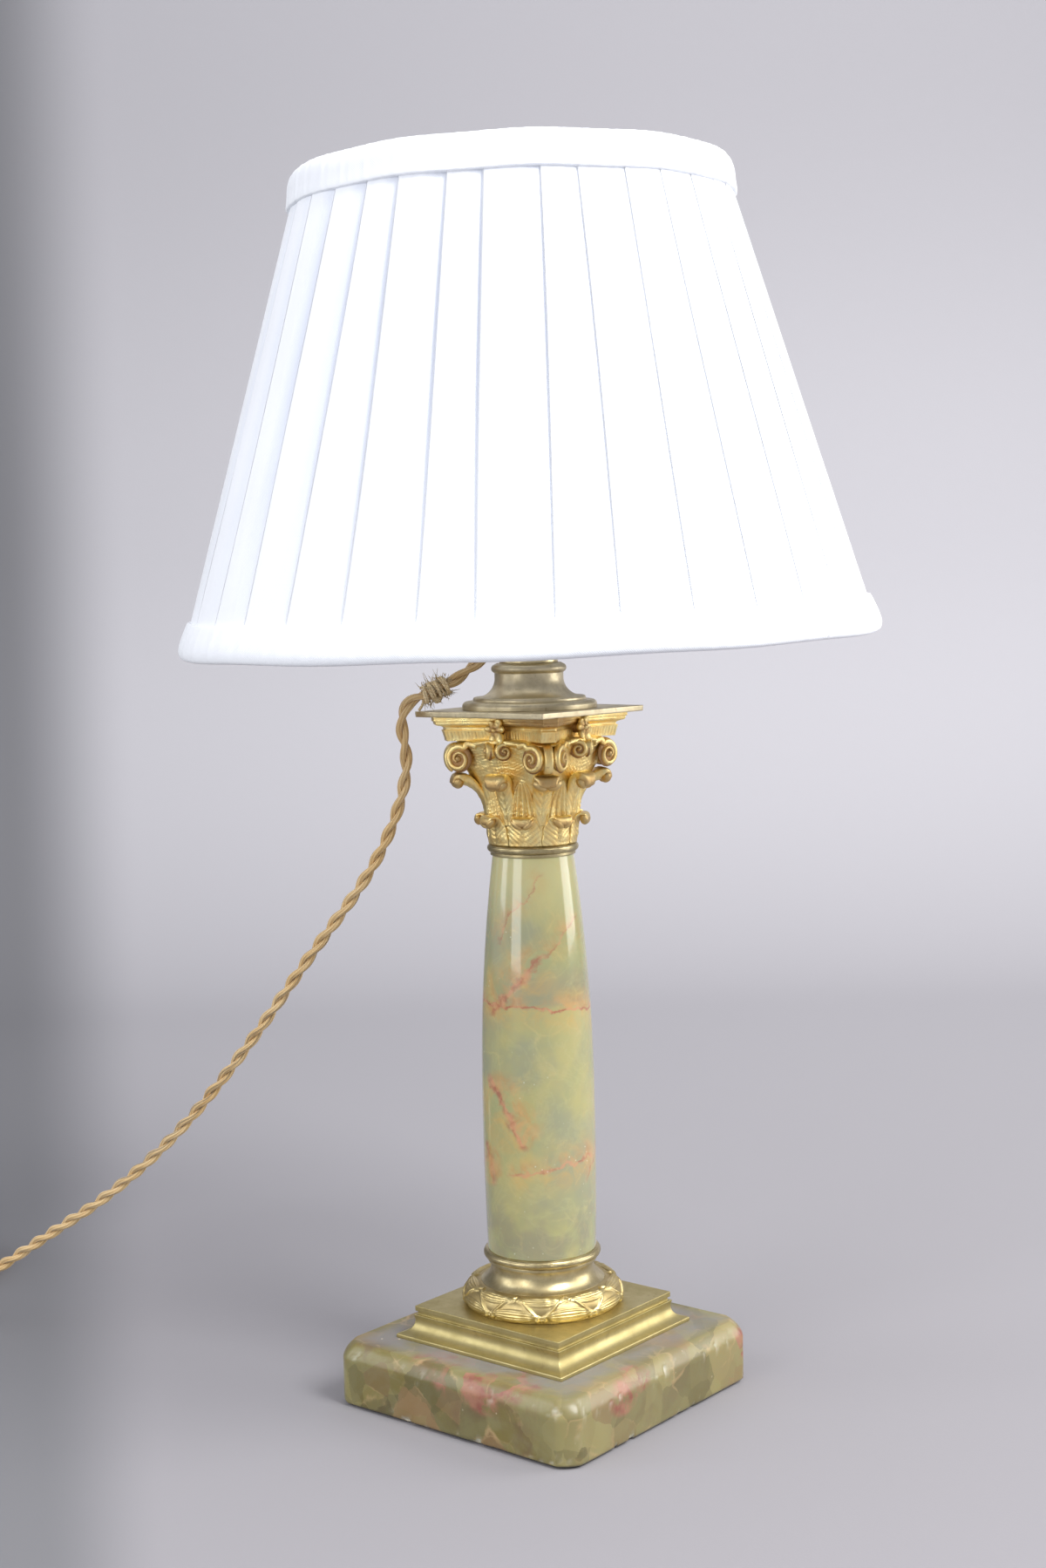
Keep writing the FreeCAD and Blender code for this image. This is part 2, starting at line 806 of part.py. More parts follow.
def make_scrolls(filled, abacus):
    """A pair of volutes under each horn of the abacus and a pair of small scrolls mid-side."""
    foot = capital_foot.value
    reach = S["volute_reach"].value
    thick = S["volute_thickness"].value
    root = (S["bell_radius"].value + 0.6, 0, foot + 22)
    one = scroll(
        S["volute_radius"].value, reach, foot + S["volute_height"].value, thick, root, 1.5
    )
    pair = []
    for side in (1, -1):
        copy = one.copy()
        copy.rotate(Vector(reach, 0, 0), UP, side * 14)
        copy.translate(Vector(0, side * (thick / 2 + 0.15), 0))
        half_space = Part.makeBox(120, 60, 120, Vector(-60, 0.02, foot - 20))
        if side < 0:
            half_space.translate(Vector(0, -60.04, 0))
        pair.append(copy.common(half_space))
    volutes = []
    for shape in pair:
        volutes += around(shape, 4, 45)
    volutes = fitted(volutes, abacus, *filled)
    shaped("corner_volutes", Part.makeCompound(volutes))
    radius = S["helix_radius"].value
    spread = S["helix_spread"].value
    level = abacus_foot.value - radius - 1.6
    helix_reach = S["helix_reach"].value
    helices = []
    for side in (1, -1):
        disc = Part.makeCylinder(radius, 3.0, Vector(helix_reach, side * spread, level), Vector(1, 0, 0))
        eye = Part.makeCylinder(1.1, 3.8, Vector(helix_reach, side * spread, level), Vector(1, 0, 0))
        neck = Part.makeCylinder(
            1.9, helix_reach - 17, Vector(18, side * (spread + 1.5), level - 4), Vector(1, 0, 0.42)
        )
        helices += around(disc.fuse([eye, neck]).removeSplitter(), 4, 0)
    helices = fitted(helices, abacus, *filled, *volutes)
    shaped("inner_helices", Part.makeCompound(helices))
    return volutes + helices


def abacus_outline(name, reach, z):
    """Four hollow sides between four cut corners; reach is to a cut corner's face."""
    far = reach / math.sqrt(2) + S["abacus_horn"] / (2 * math.sqrt(2))
    near = far - S["abacus_horn"] / math.sqrt(2)
    hollow = -(S["abacus_hollow"].value / (2 * near.value))
    corners = [
        (far, -near),
        (far, near, hollow),
        (near, far),
        (-near, far, hollow),
        (-far, near),
        (-far, -near, hollow),
        (-near, -far),
        (near, -far, hollow),
    ]
    return flat_outline(name, corners, z)


def make_abacus():
    """A fluted band, a cyma and a fillet, stacked with hollow sides."""
    foot = S["abacus_foot_reach"]
    full = S["abacus_reach"]
    band = abacus_foot + 4.2
    levels = [
        ("abacus_low", foot, abacus_foot),
        ("abacus_band", foot + 1.5, band),
        ("abacus_quirk", foot + 2.5, band + 1.8),
        ("abacus_cyma", full - 0.8, band + 3.1),
        ("abacus_lip", full, band + 3.5),
        ("abacus_high", full, plate_foot),
    ]
    outlines = [abacus_outline(*level) for level in levels]
    layers = [
        lofted("abacus_layer_%d" % i, list(pair))
        for i, pair in enumerate(zip(outlines, outlines[1:]), start=1)
    ]
    return bored("abacus", fused("abacus_block", *layers), bore, S["abacus_height"], abacus_foot)


def make_flowers(abacus, filled):
    """A flower over the middle of each side of the abacus."""
    level = abacus_foot.value + 3.9
    size = S["flower_radius"].value
    reach = S["flower_reach"].value
    heart = Part.makeSphere(size * 0.62, Vector(reach + 1.0, 0, level))
    petals = []
    for i in range(int(S["petals"].value)):
        turn = 2 * math.pi * i / S["petals"].value
        spot = Vector(reach, size * 1.05 * math.sin(turn), level + size * 1.05 * math.cos(turn))
        petals.append(Part.makeSphere(size * 0.66, spot))
    stalk = Part.makeCylinder(size * 0.7, 7, Vector(reach - 7, 0, level), Vector(1, 0, 0))
    flower = heart.fuse(petals + [stalk])
    flowers = fitted(around(flower, 4, 0), abacus, *filled)
    shaped("abacus_flowers", Part.makeCompound(flowers))


# ------------------------------------------------------------------ plate and neck
def make_neck():
    plate = block(
        "plate_sheet", S["plate_width"], S["plate_width"], S["plate_thickness"], z=plate_foot
    )
    bored("top_plate", plate, bore, S["plate_thickness"], plate_foot)
    neck = S["cup_neck_radius"]
    turned(
        "neck_cup",
        [
            (bore, cup_foot),
            (S["cup_radius"], cup_foot),
            (S["cup_radius"], cup_foot + 0.9),
            (S["cup_radius"] - 2.3, cup_foot + 3.4, 0.28),
            (S["cup_radius"] - 4.7, cup_foot + 3.6),
            (S["cup_radius"] - 4.7, cup_foot + 4.4),
            (S["cup_radius"] - 5.1, cup_foot + 5.2),
            (neck, cup_foot + 14.2, -0.24),
            (neck, collar_foot - 4.4),
            (neck + 0.3, collar_foot - 4.1),
            (neck + 0.1, collar_foot - 0.6, 0.34),
            (neck - 1.0, collar_foot),
            (bore, collar_foot),
        ],
    )
    turned(
        "neck_collar",
        [
            (bore, collar_foot),
            (S["collar_radius"], collar_foot),
            (S["collar_radius"], nipple_foot - 0.6),
            (S["collar_radius"] - 0.6, nipple_foot, 0.2),
            (bore, nipple_foot),
        ],
    )
    turned(
        "lampholder_nipple",
        [
            (bore, nipple_foot),
            (S["nipple_radius"], nipple_foot),
            (S["nipple_radius"], cap_foot),
            (bore, cap_foot),
        ],
    )


# ------------------------------------------------------------------ lampholder
def outlet_turn():
    """Turns +Z onto the outlet's axis, out and down towards the flex's corner."""
    down = FreeCAD.Rotation(Vector(0, 1, 0), 90 + S["outlet_slope"].value)
    return FreeCAD.Rotation(UP, OUT_ANGLE) * down


def on_outlet(radius):
    """The outlet axis at a distance from the lamp's axis, as bound coordinates."""
    away = radius / math.sqrt(2)
    slope = sine(S["outlet_slope"]) / cosine(S["outlet_slope"])
    return -away, -away, S["outlet_level"] + (S["outlet_reach"] - radius) * slope


def outlet_cylinder(name, radius, start, end):
    length = (end - start) / cosine(S["outlet_slope"])
    x, y, z = on_outlet(start)
    return cylinder(name, radius, length, x, y, z, outlet_turn())


def make_cap():
    """The domed cover with its slanted cord outlet."""
    wall = S["cap_wall"]
    dome_top = cap_foot + S["cap_dome"]
    shell = turned(
        "cap_solid",
        [
            (bore, cap_foot),
            (S["cap_foot_radius"], cap_foot),
            (S["cap_radius"], dome_top, 0.2),
            (S["cap_radius"], cap_top),
            (bore, cap_top),
        ],
        keep=False,
    )
    inside = turned(
        "cap_inside",
        [
            (S["rod_bore"], cap_foot + wall),
            (S["cap_foot_radius"] - wall * 0.6, cap_foot + wall),
            (S["cap_radius"] - wall, dome_top, 0.2),
            (S["cap_radius"] - wall, cap_top + 1),
            (S["rod_bore"], cap_top + 1),
        ],
        keep=False,
    )
    boss = outlet_cylinder("outlet_boss", S["outlet_radius"], sized(7), S["outlet_mouth"])
    hole = outlet_cylinder("outlet_hole", S["bush_radius"], sized(4), S["outlet_mouth"] + 4)
    outside = fused("cap_outside", shell, boss)
    hollow = cut("cap_hollow", outside, inside)
    opened = cut("cap_opened", hollow, hole)
    slit = block(
        "cap_slit",
        S["bar_length"] + 8,
        S["bar_width"] + 2 * S["bar_gap"],
        S["bar_height"] + 2 * S["bar_gap"],
        z=cap_foot + S["bar_level"] - S["bar_gap"],
    )
    node(cut("lampholder_cap", opened, slit), "lampholder_cap")
    outer = outlet_cylinder("bush_outer", S["bush_radius"], sized(8.6), S["outlet_mouth"] + 0.6)
    inner = outlet_cylinder("bush_inner", S["flex_diameter"] / 2, sized(6), S["outlet_mouth"] + 3)
    node(cut("cord_bush", outer, inner), "cord_bush")


def make_insulator():
    """The moulded block inside the cap, with the contacts' bores and the switch bar's slot."""
    room = S["cap_radius"] - S["cap_wall"]
    solid = turned(
        "insulator_solid",
        [
            (sized(0), insulator_foot),
            (room, insulator_foot),
            (room, cap_top),
            (S["insulator_boss_radius"], cap_top),
            (S["insulator_boss_radius"], insulator_top),
            (sized(0), insulator_top),
        ],
        keep=False,
    )
    slot = block(
        "insulator_slot",
        S["bar_length"] + 8,
        S["bar_width"] + 2 * S["bar_gap"],
        S["bar_height"] + 2 * S["bar_gap"],
        z=cap_foot + S["bar_level"] - S["bar_gap"],
    )
    bores = []
    depth = S["plunger_height"] + S["spring_length"] - S["plunger_stand"]
    for side in (1, -1):
        bores.append(
            cylinder(
                "contact_bore_%d" % len(bores),
                S["plunger_radius"] + S["plunger_gap"],
                depth + 1,
                y=S["contact_spread"] * side,
                z=insulator_top - depth,
            )
        )
    node(
        cut("insulator", solid, fused("insulator_cuts", slot, *bores)),
        "insulator",
    )
    plungers = [
        cylinder(
            "plunger_%d" % i,
            S["plunger_radius"],
            S["plunger_height"],
            y=S["contact_spread"] * side,
            z=contact_level - S["plunger_height"],
        )
        for i, side in enumerate((1, -1))
    ]
    pair = doc.addObject("Part::Compound", "contact_plungers")
    pair.Links = plungers
    node(pair, "contact_plungers")
    posts = [
        cylinder(
            "post_%d" % i,
            S["post_radius"],
            S["post_height"],
            x=S["contact_spread"] * side * 1.5,
            z=insulator_foot - S["post_height"],
        )
        for i, side in enumerate((1, -1))
    ]
    both = doc.addObject("Part::Compound", "terminal_posts")
    both.Links = posts
    node(both, "terminal_posts")


def make_springs():
    """Two wound springs under the plungers: half turns that each climb half the pitch."""
    wire = S["spring_wire"].value
    mean = S["plunger_radius"].value - wire
    rise = S["spring_length"].value - wire
    halves = int(S["spring_turns"].value * 2)
    foot = contact_level.value - S["plunger_height"].value - S["spring_length"].value
    springs = []
    for side in (1, -1):
        centre = Vector(0, side * S["contact_spread"].value, foot + wire / 2)
        helix = Part.makeHelix(2 * rise / halves, rise, mean)
        helix.translate(centre)
        start = helix.Vertexes[0].Point
        section = Part.Wire([Part.Circle(start, Vector(0, 1, 0), wire / 2).toShape()])
        springs.append(Part.Wire(helix).makePipeShell([section], True, True))
    shaped("contact_springs", Part.makeCompound(springs))


def make_switch_bar():
    """The bar that is pushed through from side to side; stored pushed towards +X."""
    bar = block(
        "bar_blank",
        S["bar_length"],
        S["bar_width"],
        S["bar_height"],
        x=S["bar_offset"],
        z=cap_foot + S["bar_level"],
    )
    doc.recompute()
    ends = doc.addObject("Part::Fillet", "switch_bar")
    ends.Base = bar
    upright = [
        i
        for i, e in enumerate(bar.Shape.Edges, start=1)
        if abs(e.tangentAt(e.FirstParameter).z) > 0.9
    ]
    ends.Edges = [(i, S["bar_corner"].value, S["bar_corner"].value) for i in upright]
    node(ends, "switch_bar")


def sector(name, start, sweep, low, high):
    """A wedge of the bayonet slots, inside the barrel's wall."""
    return cylinder(
        name,
        S["barrel_bore"] + S["slot_depth"],
        high - low,
        z=low,
        turn=FreeCAD.Rotation(UP, start),
        angle=sweep,
    )


def make_barrel():
    """The barrel with its two flanges and two hooked slots."""
    flange_top = cap_top + S["flange_thickness"]
    seat_foot = cap_top + S["seat_level"]
    shell = turned(
        "barrel_solid",
        [
            (S["barrel_bore"], cap_top),
            (S["cap_radius"], cap_top),
            (S["cap_radius"], flange_top),
            (S["barrel_radius"], flange_top),
            (S["barrel_radius"], seat_foot),
            (S["cap_radius"], seat_foot),
            (S["cap_radius"], seat_top),
            (S["barrel_radius"], seat_top),
            (S["barrel_radius"], barrel_top),
            (S["barrel_bore"], barrel_top),
        ],
        keep=False,
    )
    track_foot = cap_top + S["slot_level"]
    track_top = track_foot + 2 * S["bulb_pin_radius"] + 2 * S["slot_play"]
    slots = []
    for i, start in enumerate((0, 180)):
        slots.append(sector("slot_track_%d" % i, start - 8, 34, track_foot, track_top))
        slots.append(
            sector("slot_hook_%d" % i, start - 8, 16, track_foot, track_top + S["slot_hook"])
        )
        slots.append(sector("slot_entry_%d" % i, start + 10, 16, track_foot, barrel_top + 1))
    node(cut("lampholder_barrel", shell, fused("slots", *slots)), "lampholder_barrel")


# ------------------------------------------------------------------ bulb
def make_bulb():
    foot = contact_level + S["bulb_stand"]
    wall = S["bulb_wall"]
    cap_end = foot + S["bulb_cap_height"]
    turned(
        "bulb_cap",
        [
            (sized(4), foot),
            (S["bulb_cap_radius"], foot),
            (S["bulb_cap_radius"], cap_end),
            (S["bulb_cap_radius"] - wall, cap_end),
            (S["bulb_cap_radius"] - wall, foot + 3),
            (sized(4), foot + 3),
        ],
    )
    pad = turned(
        "contact_disc",
        [(sized(0), foot), (sized(4), foot), (sized(4), foot + 3), (sized(0), foot + 3)],
        keep=False,
    )
    pads = [
        cylinder(
            "contact_pad_%d" % i,
            S["pad_contact_radius"],
            S["bulb_stand"],
            y=S["contact_spread"] * side,
            z=contact_level,
        )
        for i, side in enumerate((1, -1))
    ]
    group = doc.addObject("Part::Compound", "bulb_contacts")
    group.Links = pads
    node(group, "bulb_contacts")
    node(pad, "bulb_end_disc")
    track_foot = cap_top + S["slot_level"]
    pin_level = add(track_foot, S["slot_play"], S["bulb_pin_radius"], S["slot_hook"])
    pins = []
    for i, side in enumerate((1, -1)):
        middle = (S["bulb_pin_reach"] + S["bulb_cap_radius"]) / 2 * side
        length = S["bulb_pin_reach"] - S["bulb_cap_radius"]
        pins.append(
            cylinder(
                "bulb_pin_%d" % i,
                S["bulb_pin_radius"],
                length,
                x=middle - length / 2,
                z=pin_level,
                turn=ALONG_X,
            )
        )
    both = doc.addObject("Part::Compound", "bulb_pins")
    both.Links = pins
    node(both, "bulb_pins")
    neck = S["bulb_cap_radius"] - wall
    crown = foot + S["bulb_length"]
    belly = crown - S["bulb_radius"]
    turned(
        "bulb_glass",
        [
            (neck - wall, foot + 6),
            (neck, foot + 6),
            (neck, cap_end + 4),
            (S["bulb_radius"], belly, -0.06),
            (sized(0), crown, QUARTER_TURN),
            (sized(0), crown - wall),
            (S["bulb_radius"] - wall, belly, -QUARTER_TURN),
            (neck - wall, cap_end + 4, 0.06),
        ],
    )
    turned(
        "filament_stem",
        [
            (sized(0), foot + 3),
            (sized(4), foot + 3),
            (sized(4), foot + 6),
            (sized(2.2), cap_end),
            (sized(2.2), belly - 8),
            (sized(6), belly),
            (sized(6), belly + 1.2),
            (sized(0), belly + 1.2),
        ],
    )


# ------------------------------------------------------------------ shade fitting
def leaned(thing):
    """Lean a piece of the shade about the gimbal's pivots."""
    lean = S["shade_lean"]
    thing.Placement = FreeCAD.Placement(Vector(), FreeCAD.Rotation(Vector(1, 0, 0), lean.value))
    bind(
        thing,
        Placement__Rotation__Angle=lean,
        Placement__Base__y=pivot_height * sine(lean),
        Placement__Base__z=pivot_height - pivot_height * cosine(lean),
    )
    return thing


def make_fitting():
    outer = S["gimbal_outer"]
    inside = outer - S["gimbal_wall"]
    washer_top = gimbal_foot + S["gimbal_wall"]
    wall_top = gimbal_foot + S["gimbal_height"]
    barrel = S["barrel_radius"] + S["thread_gap"]
    ring = turned(
        "gimbal_blank",
        [
            (barrel + 0.2, gimbal_foot),
            (outer, gimbal_foot),
            (outer, wall_top),
            (inside, wall_top),
            (inside, washer_top),
            (barrel + 0.2, washer_top),
        ],
        keep=False,
    )
    turned(
        "shade_ring",
        [
            (barrel, washer_top + S["swivel_gap"]),
            (S["nut_radius"], washer_top + S["swivel_gap"]),
            (S["nut_radius"], washer_top + S["nut_rise"]),
            (barrel, washer_top + S["nut_rise"]),
        ],
    )
    pivots = []
    holes = []
    for i, side in enumerate((1, -1)):
        head = S["hub_radius"] + 0.3
        head_length = S["pivot_reach"] - head
        middle = (S["pivot_reach"] + inside) / 2 * side
        length = S["pivot_reach"] - inside
        pin = cylinder(
            "pivot_pin_%d" % i, S["pivot_radius"], length, x=middle - length / 2,
            z=pivot_height, turn=ALONG_X,
        )
        cap = cylinder(
            "pivot_head_%d" % i, S["pivot_head"], head_length,
            x=(S["pivot_reach"] + head) / 2 * side - head_length / 2, z=pivot_height, turn=ALONG_X,
        )
        pivots.append(fused("pivot_%d" % i, pin, cap))
        holes.append(
            cylinder(
                "pivot_hole_%d" % i, S["pivot_radius"], length + 2, x=middle - length / 2 - 1,
                z=pivot_height, turn=ALONG_X,
            )
        )
    node(cut("gimbal_ring", ring, fused("pivot_holes", *holes)), "gimbal_ring")
    pair = doc.addObject("Part::Compound", "gimbal_pivots")
    pair.Links = pivots
    node(pair, "gimbal_pivots")


def cone_radius(z):
    """The cloth's outer radius at a height above the shade's foot."""
    slope = (S["cloth_foot_radius"] - S["cloth_top_radius"]) / S["shade_height"]
    return S["cloth_foot_radius"] - slope * sized(z)


def inner_depth():
    return S["cloth_thickness"] + S["pleat_depth_top"]


def make_spider():
    """The hub that rides on the pivots, with arms down to the bottom wire."""
    half = S["hub_height"] / 2
    blank = turned(
        "hub_blank",
        [
            (S["hub_bore"], pivot_height - half),
            (S["hub_radius"], pivot_height - half),
            (S["hub_radius"], pivot_height + half),
            (S["hub_bore"], pivot_height + half),
        ],
        keep=False,
    )
    hole = cylinder(
        "hub_hole",
        S["pivot_radius"] + S["pivot_play"],
        2 * S["hub_radius"] + 10,
        x=-S["hub_radius"] - 5,
        z=pivot_height,
        turn=ALONG_X,
    )
    hub = cut("hub", blank, hole)
    ring_level = S["shade_foot"] + S["frame_inset"]
    ring_radius = bottom_wire_radius()
    start = Vector((S["hub_radius"] - 1).value, 0, pivot_height.value)
    end = Vector((ring_radius - S["frame_wire"] * 0.6).value, 0, (ring_level + 0.4).value)
    reach = end - start
    arms = []
    for i in range(int(S["arms"].value)):
        arm = doc.addObject("Part::Cylinder", "arm_%d" % i)
        bind(arm, Radius=S["arm_radius"])
        arm.Height = reach.Length
        tilt = FreeCAD.Rotation(UP, reach)
        spin = FreeCAD.Rotation(UP, 90 + i * 360.0 / S["arms"].value)
        arm.Placement = FreeCAD.Placement(Vector(), spin).multiply(
            FreeCAD.Placement(start, tilt)
        )
        arms.append(arm)
    node(leaned(fused("shade_spider", hub, *arms)), "shade_spider")


def bottom_wire_radius():
    inset = S["frame_inset"]
    return cone_radius(inset) - inner_depth() - S["frame_wire"] * 1.05


def top_wire_radius():
    inset = S["shade_height"] - S["frame_inset"]
    return cone_radius(inset) - inner_depth() - S["frame_wire"] * 1.05


def make_frame():
    """The welded wire frame: two rings and the struts between them."""
    for name, radius, level in (
        ("shade_bottom_wire", bottom_wire_radius(), S["frame_inset"]),
        ("shade_top_wire", top_wire_radius(), S["shade_height"] - S["frame_inset"]),
    ):
        ring = doc.addObject("Part::Torus", name + "_ring")
        bind(ring, Radius1=radius, Radius2=S["frame_wire"])
        place(ring, 0, 0, S["shade_foot"] + level)
        group = doc.addObject("Part::Compound", name)
        group.Links = [ring]
        node(leaned(group), name)
    low = S["frame_inset"].value
    high = (S["shade_height"] - S["frame_inset"]).value
    inset = (inner_depth() + S["strut_radius"] * 1.05).value
    foot = S["shade_foot"].value
    start = Vector(cone_radius(sized(low)).value - inset, 0, foot + low)
    end = Vector(cone_radius(sized(high)).value - inset, 0, foot + high)
    strut = Part.makeCylinder(S["strut_radius"].value, (end - start).Length, start, end - start)
    struts = around(strut, int(S["struts"].value))
    leaned(shaped("shade_struts", Part.makeCompound(struts)))


def pleated_edge(level, depth):
    """The cover's outline at one height: a flat face, a step in, and a slope back out."""
    radius = cone_radius(level).value
    height = (S["shade_foot"] + level).value
    count = int(S["pleats"].value)
    points = []
    for i in range(count):
        start = 360.0 * i / count
        face = start + S["pleat_face"].value
        for angle, r in (
            (start, radius),
            (face, radius),
            (face + S["pleat_step"].value, radius - depth),
        ):
            turn = math.radians(angle)
            points.append(Vector(r * math.cos(turn), r * math.sin(turn), height))
    return Part.makePolygon(points + points[:1])


def cone_between(low, high, inset):
    """A solid cone that lies inset from the cloth's outer cone, between two levels."""
    foot = (S["shade_foot"] + low).value
    radii = [(cone_radius(sized(level)) - inset).value for level in (low, high)]
    return Part.makeCone(radii[0], radii[1], (sized(high) - low).value, Vector(0, 0, foot))


def make_cover():
    """Knife pleats, deep at the top and nearly flat at the bottom, on the shade's cone."""
    high = S["shade_height"]
    low_edge = pleated_edge(0, S["pleat_depth_foot"].value)
    top_edge = pleated_edge(high, S["pleat_depth_top"].value)
    outer = Part.makeLoft([low_edge, top_edge], True, True)
    cover = outer.cut(cone_between(-1, high + 1, inner_depth()))
    leaned(shaped("shade_cover", cover))
    inset = inner_depth() + S["strut_radius"] * 2.1
    low = 2 * S["frame_inset"] + 0.3
    lining = cone_between(low, high - low, inset)
    hollow = cone_between(low - 1, high - low + 1, inset + S["lining_thickness"])
    leaned(shaped("shade_lining", lining.cut(hollow)))


def make_trims():
    """The rolled cloth bands that wrap the cover's two edges."""
    foot = S["shade_foot"]
    top = foot + S["shade_height"]
    height = S["trim_height"]
    depth = S["trim_depth"]
    lip = S["trim_lip"]
    wrap = inner_depth() + 1.2
    low_radius = cone_radius(sized(0))
    mid_radius = cone_radius(height)
    leaned(
        turned(
            "bottom_trim",
            [
                (low_radius - wrap, foot - lip),
                (low_radius + 0.6, foot - lip),
                (low_radius + depth, foot + 4.2, 0.22),
                (mid_radius + 0.9, foot + height, 0.08),
                (mid_radius, foot + height),
                (low_radius, foot),
                (low_radius - wrap, foot),
            ],
        )
    )
    upper = cone_radius(S["shade_height"] - height)
    edge = cone_radius(S["shade_height"])
    leaned(
        turned(
            "top_trim",
            [
                (edge - wrap, top),
                (edge, top),
                (upper, top - height),
                (upper + 0.9, top - height),
                (edge + depth + 0.6, top - 3.4, 0.1),
                (edge - 0.4, top + lip, 0.24),
                (edge - wrap, top + lip),
            ],
        )
    )


# ------------------------------------------------------------------ flex
def coil_edges(start, heading):
    """Half turns to the right: spiral in, climb a layer, spiral out, climb again, fold back."""
    pitch = S["coil_pitch"].value
    inner = S["coil_radius"].value
    steps = int(S["coil_steps"].value)
    turns = [(inner + pitch * i / 2, 0) for i in range(steps, 0, -1)]
    turns.append((inner, pitch))
    turns += [(inner + pitch * i / 2, 0) for i in range(1, steps)]
    turns.append((inner + pitch * steps / 2, pitch))
    turns.append((S["fold_radius"].value, S["fold_climb"].value))
    straight = S["flex_diameter"].value
    edges = [Part.LineSegment(start, start + heading * straight).toShape()]
    spot = start + heading * straight
    for radius, climb in turns:
        tilt = math.asin(climb / (2 * radius))
        right = Vector(heading.y, -heading.x, 0)
        across = right * math.cos(tilt) + UP * math.sin(tilt)
        middle = spot + (across + heading) * radius
        end = spot + across * (2 * radius)
        edges.append(Part.Arc(spot, middle, end).toShape())
        spot = end
        heading = -heading
    edges.append(Part.LineSegment(spot, spot + heading * S["coil_tail"].value).toShape())
    return edges, spot + heading * S["coil_tail"].value, heading


def least_gap(edges, diameter):
    """The least gap from the wound tube to itself, on points along its middle line."""
    points = []
    for edge in edges:
        count = max(2, int(edge.Length / 2.0))
        points += edge.discretize(count)[:-1]
    near = int(3.2 * diameter / 2.0)
    least = min(
        a.distanceToPoint(b) for i, a in enumerate(points) for b in points[i + near * 2 :]
    )
    return least - diameter


def make_flex():
    radius = S["flex_diameter"].value / 2
    run, radii = tube_path(FLEX_ROUTE)
    print("flex bend radii:", [round(r, 1) for r in radii])
    shaped("flex_run", swept(run, radius))
    turn = math.radians(S["coil_heading"].value)
    heading = Vector(math.cos(turn), math.sin(turn), 0)
    edges, end, way = coil_edges(Vector(*FLEX_ROUTE[-1]), heading)
    print("coil gap to itself: %.2f" % least_gap(edges, 2 * radius))
    shaped("flex_coil", swept(edges, radius))
    total = sum(e.Length for e in run + edges)
    print("flex length in all: %.0f" % total)
    return end, way


def make_string_tie():
    """A few turns of string with a knot, round the flex where it bends over the plate."""
    a = Vector(*FLEX_ROUTE[1])
    b = Vector(*FLEX_ROUTE[2])
    axis = (b - a).normalize()
    half = S["tie_length"].value / 2
    middle = (a + b) * 0.5
    band = Part.makeCylinder(S["tie_radius"].value, 2 * half, middle - axis * half, axis)
    bore_through = Part.makeCylinder(
        S["flex_diameter"].value / 2, 4 * half, middle - axis * (2 * half), axis
    )
    knot = Part.makeSphere(S["knot_radius"].value, middle + Vector(0, 0, S["tie_radius"].value))
    shaped("string_tie", band.fuse(knot).cut(bore_through))


# ------------------------------------------------------------------ plug
def make_plug(entry, way):
    """A three-pin plug lying on the coil, pins up, with the flex in its end."""
    turn = math.degrees(math.atan2(way.y, way.x))
    frame = FreeCAD.Placement(entry, FreeCAD.Rotation(UP, turn))
    length = S["plug_length"].value
    width = S["plug_width"].value
    wall = S["plug_wall"].value
    low = -S["plug_entry"].value
    seam = low + S["plug_depth"].value - S["plug_base"].value
    top = low + S["plug_depth"].value

    def rounded(x0, x1, half, z0, z1, corner):
        box = Part.makeBox(x1 - x0, 2 * half, z1 - z0, Vector(x0, -half, z0))
        upright = [e for e in box.Edges if abs(e.tangentAt(e.FirstParameter).z) > 0.9]
        return box.makeFillet(corner, upright)

    corner = S["plug_corner"].value
    flex = S["flex_diameter"].value / 2
    mouth = Part.makeCylinder(flex, wall * 3, Vector(-wall, 0, 0), Vector(1, 0, 0))
    cover = rounded(0, length, width / 2, low, seam, corner)
    room = rounded(wall, length - wall, width / 2 - wall, low + wall, seam + 1, corner - wall)
    screw_x = length * 0.52
    post = Part.makeCylinder(S["plug_screw_radius"].value + 1.6, seam - low, Vector(screw_x, 0, low))
    shank = Part.makeCylinder(S["plug_screw_radius"].value, seam - low + 4, Vector(screw_x, 0, low))
    cover = cover.cut(room).fuse(post).cut(shank).cut(mouth)
    base = rounded(0, length, width / 2, seam, top, corner)
    power_x = length * 0.30
    earth_x = power_x + S["pin_spacing"].value
    half_gap = S["pin_spacing"].value / 2
    base = base.cut(shank)
    pins = []
    for side in (1, -1):
        pins.append(
            Part.makeBox(
                S["pin_thickness"].value, S["pin_width"].value, S["pin_length"].value + top - seam,
                Vector(
                    power_x - S["pin_thickness"].value / 2,
                    side * half_gap - S["pin_width"].value / 2,
                    seam,
                ),
            )
        )
    earth = Part.makeBox(
        S["earth_thickness"].value, S["earth_width"].value, S["earth_length"].value + top - seam,
        Vector(earth_x - S["earth_thickness"].value / 2, -S["earth_width"].value / 2, seam),
    )
    base = base.cut(earth).cut(pins[0]).cut(pins[1])
    fuse_spot = Vector(length * 0.86 - 26.5, -half_gap - 4.5, seam - S["fuse_radius"].value)
    fuse = Part.makeCylinder(
        S["fuse_radius"].value, S["fuse_length"].value, fuse_spot, Vector(1, 0, 0)
    )
    pieces = {
        "plug_cover": cover,
        "plug_base": base,
        "plug_power_pins": Part.makeCompound(pins),
        "plug_earth_pin": earth,
        "plug_fuse": fuse,
        "plug_screw": shank,
    }
    for label, shape in pieces.items():
        piece = shaped(label, shape)
        piece.Placement = frame


